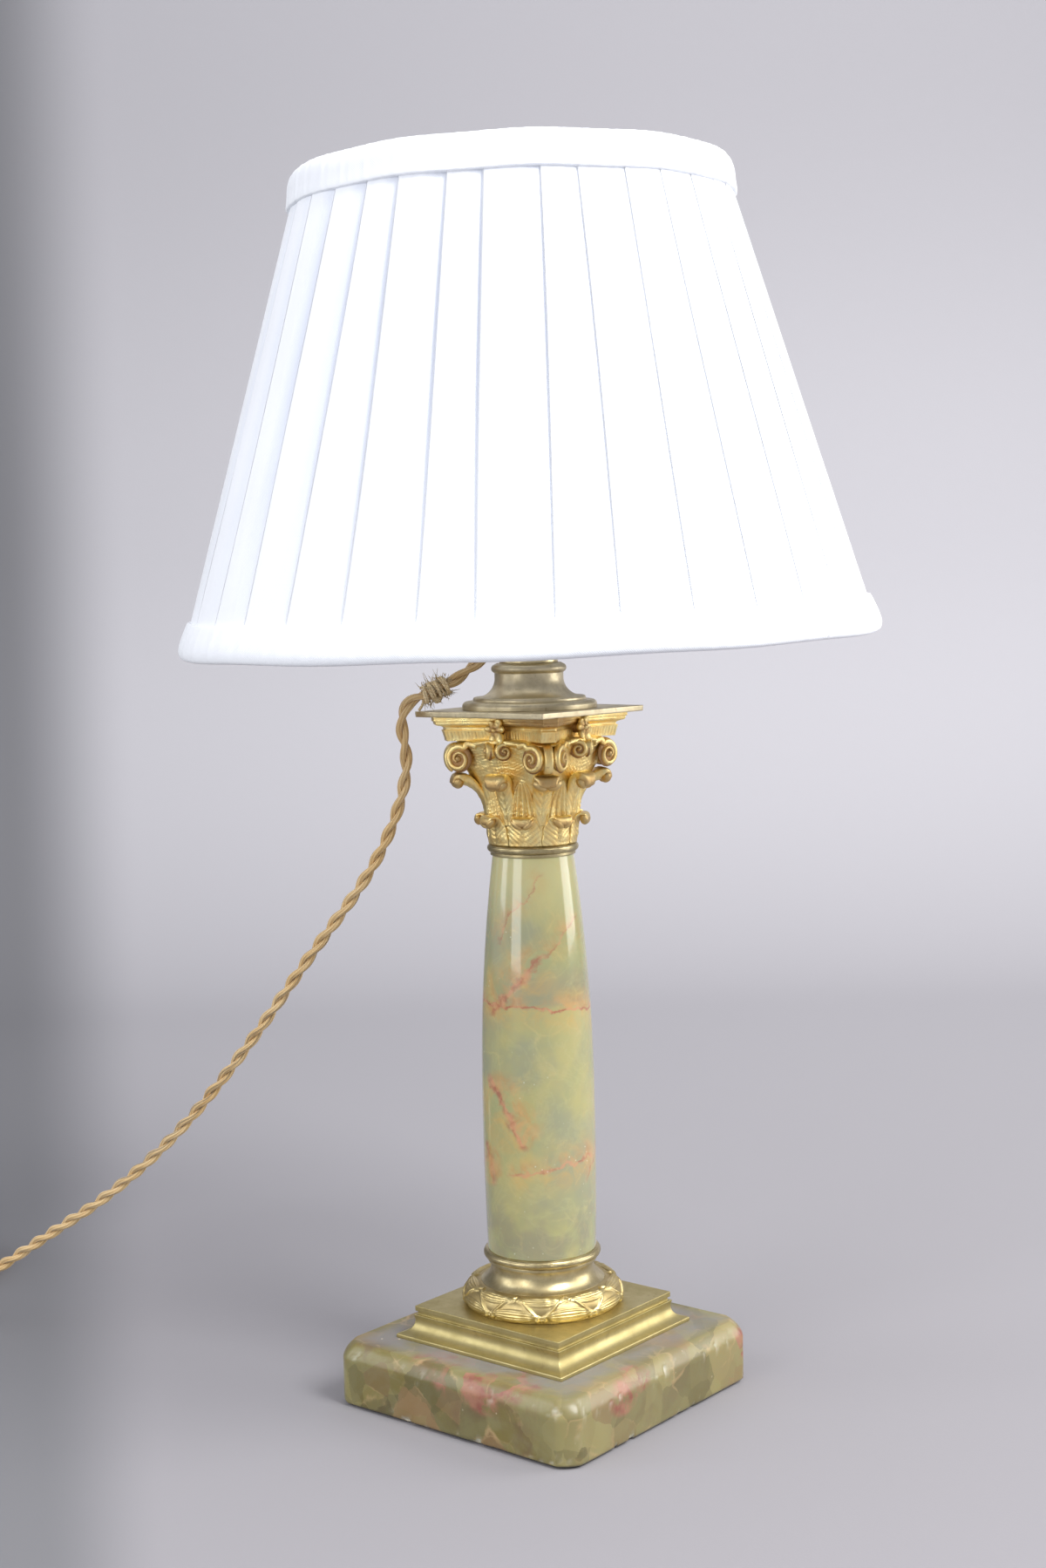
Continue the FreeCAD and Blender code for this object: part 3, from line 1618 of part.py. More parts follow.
# ------------------------------------------------------------------ the lamp
def build():
    make_pad()
    make_plinth()
    make_tie_rod()
    make_brass_step()
    make_base_rings()
    ring = make_column()
    bell = make_bell()
    abacus = make_abacus()
    doc.recompute()
    leaves = make_leaves(bell.Shape, ring.Shape)
    scrolls = make_scrolls([bell.Shape, *leaves], abacus.Shape)
    make_flowers(abacus.Shape, [bell.Shape, *scrolls])
    make_neck()
    make_cap()
    make_insulator()
    make_springs()
    make_switch_bar()
    make_barrel()
    make_bulb()
    make_fitting()
    make_spider()
    make_frame()
    make_cover()
    make_trims()
    entry, way = make_flex()
    make_string_tie()
    make_plug(entry, way)
    doc.recompute()


def check():
    """Stop if any feature failed or any sub-part has no sound shape."""
    for thing in doc.Objects:
        if {"Invalid", "Error"} & set(thing.State):
            raise RuntimeError("%s failed: %s" % (thing.Label, thing.State))
    for thing in nodes:
        if thing.Shape.isNull() or not thing.Shape.isValid():
            raise RuntimeError("%s has no sound shape" % thing.Label)


def write():
    os.makedirs("parts", exist_ok=True)
    for thing in nodes:
        thing.Shape.exportStep("parts/%s.step" % thing.Label)
        box = thing.Shape.BoundBox
        print(
            "%-20s solids %2d  volume %10.1f  z %7.2f to %7.2f"
            % (thing.Label, len(thing.Shape.Solids), thing.Shape.Volume, box.ZMin, box.ZMax)
        )


build()
check()
write()
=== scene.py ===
# %% [markdown]
# # Column table lamp
# The measured model comes in first and stays where it is. Everything that is made here is laid
# over it or takes a node's place, in the same frame: Z up, the origin on the table under the
# column, the square base's sides along X and Y. Lengths are in millimetres until a mesh is made.

# %% Load the measured model
import math

import bpy
import numpy as np
from mathutils import Matrix


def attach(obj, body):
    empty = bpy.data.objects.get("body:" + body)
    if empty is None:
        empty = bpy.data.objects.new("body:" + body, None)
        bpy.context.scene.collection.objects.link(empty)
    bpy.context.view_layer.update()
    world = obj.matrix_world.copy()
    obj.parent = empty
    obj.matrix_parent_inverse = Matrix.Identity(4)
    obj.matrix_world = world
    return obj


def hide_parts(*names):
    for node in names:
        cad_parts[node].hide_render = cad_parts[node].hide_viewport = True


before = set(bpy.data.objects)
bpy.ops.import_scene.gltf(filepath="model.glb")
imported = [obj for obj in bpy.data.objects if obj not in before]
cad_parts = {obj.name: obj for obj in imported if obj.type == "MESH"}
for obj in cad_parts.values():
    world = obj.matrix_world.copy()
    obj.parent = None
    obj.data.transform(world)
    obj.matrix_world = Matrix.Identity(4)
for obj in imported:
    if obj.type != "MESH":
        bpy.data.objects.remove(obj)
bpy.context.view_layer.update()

MM = 0.001
SCENE = bpy.context.scene


# %% Placing and turning
def placed(name, data, axes=None, spot=None):
    """A new object in the scene; axes are its X, Y and Z directions and spot is its place."""
    thing = bpy.data.objects.new(name, data)
    SCENE.collection.objects.link(thing)
    if axes is not None:
        rows = [[*directions, at] for directions, at in zip(np.transpose(axes), spot)]
        thing.matrix_world = Matrix([*rows, [0, 0, 0, 1]])
    return thing


def spun(points, degrees):
    """Points turned about the lamp's axis."""
    c, s = math.cos(math.radians(degrees)), math.sin(math.radians(degrees))
    return points @ np.array([[c, s, 0], [-s, c, 0], [0, 0, 1]])


# %% [markdown]
# ## Camera
# The camera's place was worked out from the square base, the plate and the shade's two ellipses.
# It stands at the height of the lampholder, under a metre away, turned to the base's near corner,
# and it is rolled a little, as the photograph is.

# %% Camera
CAMERA_TURN = 39.2
CAMERA_DISTANCE, CAMERA_HEIGHT = 0.924, 0.35319
PITCH, YAW, ROLL = (math.radians(a) for a in (4.995, -0.228, -1.353))
FOCAL_PIXELS, LONG_SIDE_PIXELS = 2436.15, 1799


def camera_axes():
    """Right, up and back directions: pitched down, turned, rolled, then swung round the lamp."""
    level = np.array([math.sin(YAW), math.cos(YAW), 0.0])
    ahead = level * math.cos(PITCH) - np.array([0, 0, math.sin(PITCH)])
    right = np.array([math.cos(YAW), -math.sin(YAW), 0.0])
    up = np.cross(right, ahead)
    rolled_right = right * math.cos(ROLL) + up * math.sin(ROLL)
    rolled_up = up * math.cos(ROLL) - right * math.sin(ROLL)
    return [spun(axis, CAMERA_TURN) for axis in (rolled_right, rolled_up, -ahead)]


camera_data = bpy.data.cameras.new("camera")
camera_data.lens = FOCAL_PIXELS * camera_data.sensor_width / LONG_SIDE_PIXELS
camera_data.clip_start = 0.01
camera_spot = spun(np.array([0, -CAMERA_DISTANCE, CAMERA_HEIGHT]), CAMERA_TURN)
SCENE.camera = placed("camera", camera_data, camera_axes(), camera_spot)
SCENE.view_settings.view_transform = "Standard"

# %% [markdown]
# ## Mesh helpers
# Each new piece is a surface over two parameters, worked out with numpy for a whole grid at once.
# Rows run along the piece and columns round it. A grid may be closed round, and its two ends may
# be capped, so that the finished mesh has no open edge. A part is three things together: points,
# faces, and named numbers for each point, which the materials read.


# %% Mesh helpers
def full_turn(count):
    """Angles evenly spaced round a circle."""
    return np.arange(count) / count * 2 * math.pi


def swung(r, angle, z):
    """Points at radius r and height z, swung round Z: x = r cos a, y = r sin a."""
    return np.stack(np.broadcast_arrays(r * np.cos(angle), r * np.sin(angle), z), axis=-1)


def unit(vectors):
    """Vectors divided by their lengths."""
    return vectors / np.linalg.norm(vectors, axis=-1, keepdims=True)


def run_length(points):
    """The distance along a polyline at each of its points."""
    return np.concatenate([[0], np.cumsum(np.linalg.norm(np.diff(points, axis=0), axis=1))])


def girth(points):
    """The distance round each closed row of a grid."""
    return np.linalg.norm(points - np.roll(points, 1, axis=1), axis=-1).sum(axis=1)


def lifted(path, height):
    """Radius and height of points at a height over a path in side view, along its normal."""
    slope = np.gradient(path, axis=0)
    normal = unit(np.stack([slope[:, 1], -slope[:, 0]], axis=1))
    return [path[:, i, None] + normal[:, i, None] * height for i in (0, 1)]


def grid(points, closed_round=True, closed_along=False, **data):
    """A part whose quads join each grid point to its right and upper neighbours."""
    rows, columns = points.shape[:2]
    r = np.arange(rows if closed_along else rows - 1)
    c = np.arange(columns if closed_round else columns - 1)
    r, c = np.meshgrid(r, c, indexing="ij")
    r2, c2 = (r + 1) % rows, (c + 1) % columns
    quads = np.stack([r * columns + c, r * columns + c2, r2 * columns + c2, r2 * columns + c], -1)
    return points.reshape(-1, 3), quads.reshape(-1, 4).tolist(), data


def capped(points, **data):
    """A grid part with both open ends closed by a fan onto the end ring's middle."""
    flat, faces, data = grid(points, **data)
    ring = np.arange(points.shape[1])
    after = np.roll(ring, -1)
    last = len(flat) - len(ring)
    low = np.stack([after, ring, 0 * ring + len(flat)], axis=-1)
    high = np.stack([last + ring, last + after, 0 * ring + len(flat) + 1], axis=-1)
    ends = [points[0].mean(axis=0), points[-1].mean(axis=0)]
    return np.concatenate([flat, ends]), [*faces, *low.tolist(), *high.tolist()], data


def together(parts):
    """Several parts as one: the faces are renumbered and the data joined."""
    points, faces, data, start = [], [], {}, 0
    for part_points, part_faces, part_data in parts:
        points.append(part_points)
        faces += [[i + start for i in face] for face in part_faces]
        start += len(part_points)
        for label, values in part_data.items():
            data.setdefault(label, []).append(np.ravel(values))
    return np.concatenate(points), faces, {k: np.concatenate(v) for k, v in data.items()}


def ring_of(part, angles):
    """Copies of a part at several angles about the lamp's axis."""
    points, faces, data = part
    return [(spun(points, angle), faces, data) for angle in angles]


def new_piece(name, nodes, part, material, body="lamp"):
    """A part made into a mesh that rides on a body and takes the place of some nodes."""
    points, faces, data = part
    mesh = bpy.data.meshes.new(name)
    mesh.from_pydata((points * MM).tolist(), [], faces)
    mesh.update()
    mesh.polygons.foreach_set("use_smooth", np.ones(len(faces), bool))
    for label, values in data.items():
        layer = mesh.attributes.new(label, "FLOAT", "POINT")
        layer.data.foreach_set("value", np.ravel(values).astype(np.float32))
    mesh.materials.append(material)
    piece = placed(name, mesh)
    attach(piece, body)
    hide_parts(*nodes)
    print("%-18s %6d faces" % (name, len(faces)))
    return piece


# %% [markdown]
# ## Shader maths
# Socket wraps one output of a shader tree, so that a pattern reads as ordinary arithmetic. Each
# operator adds the Math node that it names.


# %% Shader maths
def math_method(operation, swapped=False):
    """A method that adds one Math node, with its own value first, or last where it is swapped."""

    def method(self, *others):
        values = (*others, self) if swapped else (self, *others)
        return self.looks.node("ShaderNodeMath", {"operation": operation}, values)

    return method


class Socket:
    """One value in a shader tree, with Python's operators."""

    __add__ = __radd__ = math_method("ADD")
    __mul__ = __rmul__ = math_method("MULTIPLY")
    __sub__ = math_method("SUBTRACT")
    __rsub__ = math_method("SUBTRACT", swapped=True)
    __truediv__ = math_method("DIVIDE")
    distance = math_method("ABSOLUTE")
    wave = math_method("SINE")
    least = math_method("MINIMUM")
    most = math_method("MAXIMUM")

    def __init__(self, looks, output):
        self.looks, self.output = looks, output

    def held(self):
        """Held between 0 and 1."""
        return self.least(1.0).most(0.0)

    def between(self, low, high):
        """A smooth step: 0 below low, 1 above high."""
        settings = {"interpolation_type": "SMOOTHSTEP"}
        return self.looks.node("ShaderNodeMapRange", settings, {0: self, 1: low, 2: high})


class Looks:
    """One material, with its Principled shader."""

    def __init__(self, name, **constants):
        self.material = bpy.data.materials.new(name)
        self.material.use_nodes = True
        self.tree = self.material.node_tree
        self.shader = self.tree.nodes["Principled BSDF"]
        for label, value in constants.items():
            self.shader.inputs[label.replace("_", " ")].default_value = value

    def node(self, kind, settings=None, inputs=(), output=0):
        """Any node: its settings first, then its sockets by number or name."""
        made = self.tree.nodes.new(kind)
        for label, value in (settings or {}).items():
            setattr(made, label, value)
        for label, value in inputs.items() if isinstance(inputs, dict) else enumerate(inputs):
            if isinstance(value, Socket):
                self.tree.links.new(value.output, made.inputs[label])
            else:
                made.inputs[label].default_value = value
        return Socket(self, made.outputs[output])

    def place(self, size_mm, stretch=(1, 1, 1)):
        """Object coordinates, scaled so that one unit is size_mm."""
        where = self.node("ShaderNodeTexCoord", output="Object")
        size = tuple(1000.0 / size_mm * s for s in stretch)
        return self.node("ShaderNodeMapping", {"vector_type": "POINT"}, {0: where, 3: size})

    def noise(self, size_mm, detail=3.0, rough=0.5, stretch=(1, 1, 1), warp=0.0, output=0):
        """Noise whose features are about size_mm across."""
        inputs = {"Vector": self.place(size_mm, stretch), "Scale": 1.0, "Detail": detail}
        inputs.update({"Roughness": rough, "Distortion": warp})
        return self.node("ShaderNodeTexNoise", None, inputs, output)

    def cells(self, size_mm, feature="F1", output=0, bent=None):
        """Cells about size_mm across; bent shifts the place that they are read at."""
        where = self.place(size_mm)
        if bent is not None:
            where = self.node("ShaderNodeVectorMath", {"operation": "ADD"}, (where, bent))
        inputs = {"Vector": where, "Scale": 1.0}
        return self.node("ShaderNodeTexVoronoi", {"feature": feature}, inputs, output)

    def cell_tone(self, channel, size_mm, bent):
        """One random number for each cell: the red, green or blue of its colour."""
        colour = self.cells(size_mm, output=1, bent=bent)
        return self.node("ShaderNodeSeparateColor", None, {0: colour}, channel)

    def bend(self, size_mm, amount):
        """A noise vector to shift cells with, so that their edges aren't straight."""
        field = self.noise(size_mm, 5.0, 0.6, warp=0.6, output=1)
        return self.node("ShaderNodeVectorMath", {"operation": "SCALE"}, {0: field, 3: amount})

    def axes(self):
        """The three object coordinates in millimetres."""
        where = self.node("ShaderNodeTexCoord", output="Object")
        return [self.node("ShaderNodeSeparateXYZ", None, {0: where}, i) * 1000.0 for i in range(3)]

    def stored(self, label):
        """A number stored on the mesh's points."""
        settings = {"attribute_type": "GEOMETRY", "attribute_name": label}
        return self.node("ShaderNodeAttribute", settings, output="Fac")

    def mix(self, share, first, second):
        """From the first colour to the second as share goes from 0 to 1."""
        first, second = ((*c, 1.0) if isinstance(c, tuple) else c for c in (first, second))
        inputs = {0: share, 6: first, 7: second}
        return self.node("ShaderNodeMix", {"data_type": "RGBA"}, inputs, 2)

    def paint(self, **links):
        """Link values to the shader's sockets."""
        for label, value in links.items():
            self.tree.links.new(value.output, self.shader.inputs[label.replace("_", " ")])
        return self

    def bump(self, height, depth_mm, strength=1.0):
        """Relief from a height between 0 and 1, depth_mm deep."""
        inputs = {"Strength": strength, "Distance": depth_mm * MM, "Height": height}
        return self.paint(Normal=self.node("ShaderNodeBump", None, inputs))


# %% [markdown]
# ## The flex
# The real flex is two rubber cores, each braided over in gold silk, twisted about each other once
# every 24 mm. Its middle line is one NURBS spline: it leaves the lampholder, bends over the plate's
# corner, hangs down to the table and is wound there into a coil. The two cores are then carried
# along that line on a pair of helices.

# %% The flex's line
FLEX_ROUTE = [
    (-6.0, -6.0, 338.65), (-18.4, -18.8, 321.6), (-29.2, -30.4, 313.6), (-36.2, -39.9, 310.0),
    (-37.8, -42.3, 299.5), (-38.0, -37.4, 284.0), (-45.0, -37.3, 261.0), (-59.8, -40.8, 233.4),
    (-90.3, -49.4, 195.8), (-123.5, -57.7, 152.3), (-160.2, -66.7, 110.3), (-199.6, -77.2, 75.8),
    (-240.4, -87.6, 49.5), (-278.0, -97.4, 24.5), (-307.4, -104.7, 9.3), (-331.0, -110.6, 3.3),
    (-355.9, -116.9, 3.3),
]
FLEX_DIAMETER = 6.0
COIL_RADIUS, COIL_PITCH, COIL_STEPS = 26.5, 6.5, 5
FOLD_RADIUS, FOLD_CLIMB, COIL_TAIL = 21.0, 11.8, 9.0
COIL_HEADING = math.radians(194.2)
TURN_POINTS = 8  # control points to a half turn


def coil_points():
    """Half circles to the right, each of its own radius; a control polygon stands outside its
    curve, so it is drawn larger by one over the cosine of half a step."""
    radii = [COIL_RADIUS + COIL_PITCH * i / 2 for i in range(COIL_STEPS + 1)]
    turns = [(radius, 0.0) for radius in radii[:0:-1]] + [(radii[0], COIL_PITCH)]
    turns += [(radius, 0.0) for radius in radii[1:-1]]
    turns += [(radii[-1], COIL_PITCH), (FOLD_RADIUS, FOLD_CLIMB)]
    heading = np.array([math.cos(COIL_HEADING), math.sin(COIL_HEADING), 0.0])
    spot = np.array(FLEX_ROUTE[-1]) + heading * FLEX_DIAMETER
    step = math.pi / TURN_POINTS
    angles = (np.arange(TURN_POINTS) + 0.5) * step
    rows = []
    for radius, climb in turns:
        right = np.array([heading[1], -heading[0], 0.0])
        swing = np.outer(np.sin(angles), heading) - np.outer(np.cos(angles), right)
        half_circle = spot + right * radius + swing * radius / math.cos(step / 2)
        half_circle[:, 2] += climb * angles / math.pi
        rows.append(half_circle)
        spot = spot + right * 2 * radius + np.array([0.0, 0.0, climb])
        heading = -heading
    return np.concatenate([*rows, spot[None], (spot + heading * COIL_TAIL)[None]])


flex_points = np.concatenate([FLEX_ROUTE, coil_points()])
flex_curve = bpy.data.curves.new("flex_line", "CURVE")
flex_curve.dimensions = "3D"
flex_spline = flex_curve.splines.new("NURBS")
flex_spline.points.add(len(flex_points) - 1)
weighted = np.hstack([flex_points * MM, np.ones((len(flex_points), 1))])
flex_spline.points.foreach_set("co", weighted.ravel())
flex_spline.order_u, flex_spline.resolution_u = 3, 10
flex_spline.use_endpoint_u = True
flex_line = placed("flex_line", flex_curve)
line_mesh = bpy.data.meshes.new_from_object(flex_line)
line = np.array([v.co for v in line_mesh.vertices]) / MM
bpy.data.objects.remove(flex_line)

# %% [markdown]
# A frame is carried along the line without spinning, and each core circles the line in it. The
# mesh keeps how far along the core a point is, and its angle round the core, for the braid.

# %% The flex's two cores
TWIST_PITCH = 24.0
CORE_RADIUS, CORE_OFFSET, CORE_SIDES = 1.44, 1.4, 12
SAMPLE_STEP = 1.35


def carried_frame(points):
    """Two sideways directions at each sample, turned no more than the line turns."""
    tangent = unit(np.gradient(points, axis=0))
    side = np.empty_like(tangent)
    side[0] = np.cross(tangent[0], (0.0, 0.0, 1.0))
    for i in range(1, len(points)):  # one step for each sample of the line
        side[i] = unit(side[i - 1] - tangent[i] * (side[i - 1] @ tangent[i]))
    return side, np.cross(tangent, side)


def round_tube(points, radius, sides):
    """A closed tube: a ring round each sample, ends capped. Stores length along and angle round."""
    side, up = carried_frame(points)
    angle = full_turn(sides)
    ring = np.cos(angle)[:, None] * side[:, None] + np.sin(angle)[:, None] * up[:, None]
    tube = points[:, None] + ring * np.broadcast_to(radius, (len(points),))[:, None, None]
    along = run_length(points)
    length = np.append(np.repeat(along, sides), [0, along[-1]])
    return capped(tube, along=length, round=np.append(np.tile(angle, len(points)), [0, 0]))


line_along = run_length(line)
sample_along = np.linspace(0, line_along[-1], int(line_along[-1] / SAMPLE_STEP) + 1)
samples = np.stack([np.interp(sample_along, line_along, line[:, i]) for i in range(3)], axis=1)
line_side, line_up = carried_frame(samples)
cores = []
for phase in (0.0, math.pi):
    turn = (sample_along / TWIST_PITCH * 2 * math.pi + phase)[:, None]
    offset = line_side * np.cos(turn) + line_up * np.sin(turn)
    cores.append(round_tube(samples + offset * CORE_OFFSET, CORE_RADIUS, CORE_SIDES))

# %% [markdown]
# The braid on each core is two sets of threads that cross: a sine of (along plus round) and one of
# (along minus round). Their product gives the small diamonds. The silk is wound in flat bundles,
# which show as ribs that run nearly along the core. The grooves between ribs and threads are
# painted darker, as painted shade, so the crowns read lighter.


# %% Silk braid
def silk_braid():
    looks = Looks("gold_silk_braid", Roughness=0.5, Sheen_Weight=0.35)
    along, angle = looks.stored("along"), looks.stored("round")
    weave = (along * 4.6 + angle * 4.0).wave() * (along * 4.6 - angle * 4.0).wave() * 0.5 + 0.5
    ribs = (angle * 6.0 + along * 0.55).wave() * 0.5 + 0.5
    height = ribs * 0.65 + weave * 0.35
    soil = looks.noise(22, 4.0).between(0.35, 0.7)
    light = looks.mix(soil, (0.82, 0.58, 0.255), (0.90, 0.69, 0.36))
    # painted shade: the braid's low places are painted darker brown
    colour = looks.mix((1.0 - height) * 0.8, light, (0.50, 0.28, 0.095))
    return looks.paint(Base_Color=colour).bump(height, 0.35, 0.9).material


flex_nodes = ("flex_run", "flex_coil")
flex = new_piece("flex", flex_nodes, together(cores), silk_braid())

# %% [markdown]
# ## Turned and square pieces
# A turned piece is a profile spun about Z, and a square one is a profile carried round a square.
# The profile's corners are eased over a few tenths of a millimetre, with a supporting point on each
# side, so that a flat face shades flat right up to its edge and the edge itself catches the light.


# %% Profiles
STRAIGHT = -0.94  # two edges whose directions' product is lower hardly make a corner


def arc(start, end, rise, count=9):
    """The circular arc from start to end; rise is its height over its chord, to the right."""
    start, end = np.array(start, float), np.array(end, float)
    chord = end - start
    length = np.linalg.norm(chord)
    height = abs(rise) * length
    radius = (length**2 / 4 + height**2) / (2 * height)
    half = 2 * math.atan(2 * height / length)
    t = np.linspace(-half, half, count)
    side = np.array([chord[1], -chord[0]]) / length * np.sign(rise)
    along = (radius * np.sin(t))[:, None] * chord / length
    return (start + end) / 2 + along + (radius * (np.cos(t) - math.cos(half)))[:, None] * side


def profile(*corners, ease=0.22):
    """An outline from (r, z) corners; a third value makes the edge that arrives there an arc."""
    rows = []
    for i, corner in enumerate(corners):
        if len(corner) > 2:
            rows.append(arc(corners[i - 1][:2], corner[:2], corner[2])[1:-1])
        rows.append(np.array([corner[:2]], float))
    points = np.concatenate(rows)
    eased = []
    for a, p, b in zip(np.roll(points, 1, axis=0), points, np.roll(points, -1, axis=0)):
        reach = min(ease, 0.3 * np.linalg.norm(a - p), 0.3 * np.linalg.norm(b - p))
        back, ahead = unit(a - p), unit(b - p)
        shares = ((2.0, 0.0), (1.0, 0.0), (0.3, 0.3), (0.0, 1.0), (0.0, 2.0))
        if back @ ahead < STRAIGHT:
            shares = ((0.0, 0.0),)
        eased += [p + (back * u + ahead * v) * reach for u, v in shares]
    return np.array(eased)


QUARTER = np.array([[0, 1], [-1, 0]])


def four_sides(side):
    """One side's points repeated round the square, a quarter turn each time."""
    return np.concatenate([side @ np.linalg.matrix_power(QUARTER, k) for k in range(4)])


def squared(outline, corner, per_side, flat=0.0, per_corner=7):
    """A profile carried round a square: each point is A (half - corner) + B corner, where A runs
    along a unit square's sides and B turns through its corners. The corner goes from round, where
    flat is 0, to a straight cut, where it is 1."""
    along = np.linspace(-1, 1, per_side + 2)[1:-1]
    turn = np.linspace(0, 1, per_corner)
    bend = np.stack([np.cos(turn * math.pi / 2), np.sin(turn * math.pi / 2)], axis=1)
    bend = bend * (1 - flat) + np.stack([1 - turn, turn], axis=1) * flat
    ones = np.ones(per_side)
    a = four_sides(np.concatenate([np.stack([ones, along], 1), np.ones((per_corner, 2))]))
    b = four_sides(np.concatenate([np.stack([ones, 0 * ones], 1), bend]))
    corner = np.broadcast_to(corner, (len(outline),))[:, None, None]
    half, z = outline[:, 0][:, None, None], outline[:, 1][:, None, None]
    flat_xy = a * (half - corner) + b * corner
    return np.concatenate([flat_xy, z + 0 * flat_xy[..., :1]], axis=-1)


def ripple(points, size, seed):
    """A smooth random field from -1 to 1: the mean of eight sine waves in random directions."""
    draw = np.random.default_rng(seed)
    total = np.zeros(points.shape[:-1])
    for _ in range(8):
        way = draw.normal(size=3)
        way *= 2 * math.pi / (size * np.linalg.norm(way)) * draw.uniform(0.6, 1.5)
        total += np.sin(points @ way + draw.uniform(0, 2 * math.pi))
    return np.clip(total / 4.5, -1, 1)


# %% [markdown]
# ## Brass and gilt
# All the metal is brass. The stepped base is satin, the plate and cup have dulled to brown-grey,
# and the capital is gilt that has rubbed off its tips. Each finish is a base colour that drifts,
# darker tarnish in patches and low places, and roughness that follows the tarnish.


# %% Metals
def metal(name, bright, dull, tarnish, rough, patch_mm=14, grain_mm=0.7, depth_mm=0.03, worn=""):
    """Brass of two tones with tarnish; worn names a stored number that darkens it."""
    looks = Looks(name, Metallic=1.0)
    patches = looks.noise(patch_mm, 6.0, 0.6).between(0.32, 0.68)
    colour = looks.mix(patches, bright, dull)
    dark = looks.noise(patch_mm * 0.35, 5.0, 0.7, warp=0.4).between(0.56, 0.8) * 0.6
    if worn:
        dark = (dark + looks.stored(worn)).held()
    roughness = (patches * 0.1 + dark * 0.2 + rough).held()
    looks.paint(Base_Color=looks.mix(dark, colour, tarnish), Roughness=roughness)
    return looks.bump(looks.noise(grain_mm, 3.0, 0.6), depth_mm).material


SATIN = metal("satin_brass", (0.56, 0.475, 0.225), (0.45, 0.375, 0.165), (0.25, 0.16, 0.08), 0.4)
CAST = metal(
    "cast_brass", (0.80, 0.66, 0.32), (0.64, 0.50, 0.21), (0.16, 0.10, 0.045), 0.3,
    9, 0.5, 0.06, "worn",
)
AGED = metal("aged_brass", (0.76, 0.66, 0.44), (0.56, 0.48, 0.31), (0.30, 0.22, 0.13), 0.38, 10)
RING = metal("ring_brass", (0.62, 0.53, 0.30), (0.44, 0.36, 0.19), (0.20, 0.12, 0.06), 0.28, 8)
GILT = metal(
    "rubbed_gilt", (1.0, 0.83, 0.38), (1.0, 0.72, 0.27), (0.34, 0.18, 0.085), 0.27,
    5, 0.45, 0.16, "worn",
)
FITTING = metal("fitting_brass", (0.72, 0.62, 0.38), (0.58, 0.49, 0.28), (0.27, 0.20, 0.11), 0.27)

# %% [markdown]
# ## The stone
# Onyx is banded calcite: cloudy, half clear and polished. The column is pale green with a few
# rust-red veins. Healed cracks are flat, so a vein here is a bent plane that cuts the column: a
# point is on it when its distance to the plane, moved by a little noise, is small. The plinth is a
# darker piece, broken into olive, brown, pink and orange patches with cream lines between them.

# %% The column's onyx
VEINS = (  # a point on it, the plane's normal, half width, centre and radius of its patch, depth
    ((9.6, -21.0, 177.6), (0.02, 0.10, 1.0), 0.9, (6, -22, 178), 46, 1.0),
    ((7.6, -21.1, 188.3), (-0.60, -0.46, 0.66), 1.5, (6, -22, 187), 21, 0.9),
    ((16.0, -14.0, 199.4), (-0.60, -0.46, 0.66), 0.8, (17, -13, 202), 24, 0.6),
    ((11.4, -15.4, 228.7), (-0.72, -0.40, 0.60), 0.6, (6, -18, 220), 20, 0.6),
    ((1.6, -24.9, 132.1), (0.80, 0.24, 0.52), 1.9, (1, -24, 131), 20, 1.0),
    ((-8.9, -23.3, 109.0), (0.85, 0.30, 0.20), 2.4, (-10, -22, 107), 11, 0.75),
    ((11.0, -22.4, 105.3), (-0.10, -0.12, 1.0), 1.0, (20, -12, 107), 24, 0.85),
    ((-14.0, 20.0, 150.0), (0.5, 0.3, 0.8), 0.9, (-12, 20, 150), 34, 0.8),
    ((-22.0, -6.0, 96.0), (-0.3, 0.5, 0.8), 0.7, (-20, -4, 98), 28, 0.7),
    ((16.0, 18.0, 120.0), (0.4, -0.6, 0.7), 0.9, (14, 18, 118), 30, 0.7),
)


def squared_distance(axes, centre, radius, upright=1.0):
    """How far a point is from a centre, squared, where the radius counts as one."""
    x, y, z = (axis - middle for axis, middle in zip(axes, centre))
    return (x * x + y * y + z * z * upright) / (radius * radius)


def most_of(values):
    """The largest of several Sockets."""
    best = values[0]
    for value in values[1:]:
        best = best.most(value)
    return best


def veins_of(looks, axes, fine):
    """How red each point is, and how warm the stone is about the veins."""
    x, y, z = axes
    waver = (looks.noise(16, 5.0, 0.6) - 0.5) * 10.0 + (looks.noise(4, 3.0, 0.6) - 0.5) * 2.0
    ragged = looks.noise(3.2, 5.0, 0.7)
    reds, warms = [], []
    for point, normal, half, centre, patch, depth in VEINS:
        a, b, c = (n / math.hypot(*normal) for n in normal)
        level = a * point[0] + b * point[1] + c * point[2]
        signed = x * a + y * b + z * c - level + waver
        off = signed.distance()
        across = 1.0 - (off / (ragged * 2.8 * half)).between(0.0, 1.0)
        blush = (1.0 - (signed / (half * 7.0)).held()) * signed.between(-0.3, 0.0) * 0.55
        near = 1.0 - squared_distance(axes, centre, patch).between(0.55, 1.0)
        reds.append(across.most(blush * fine.between(0.35, 0.6)) * near * depth)
        warms.append((1.0 - (off / (half * 13.0)).held()) * near * depth)
    return most_of(reds), most_of(warms)


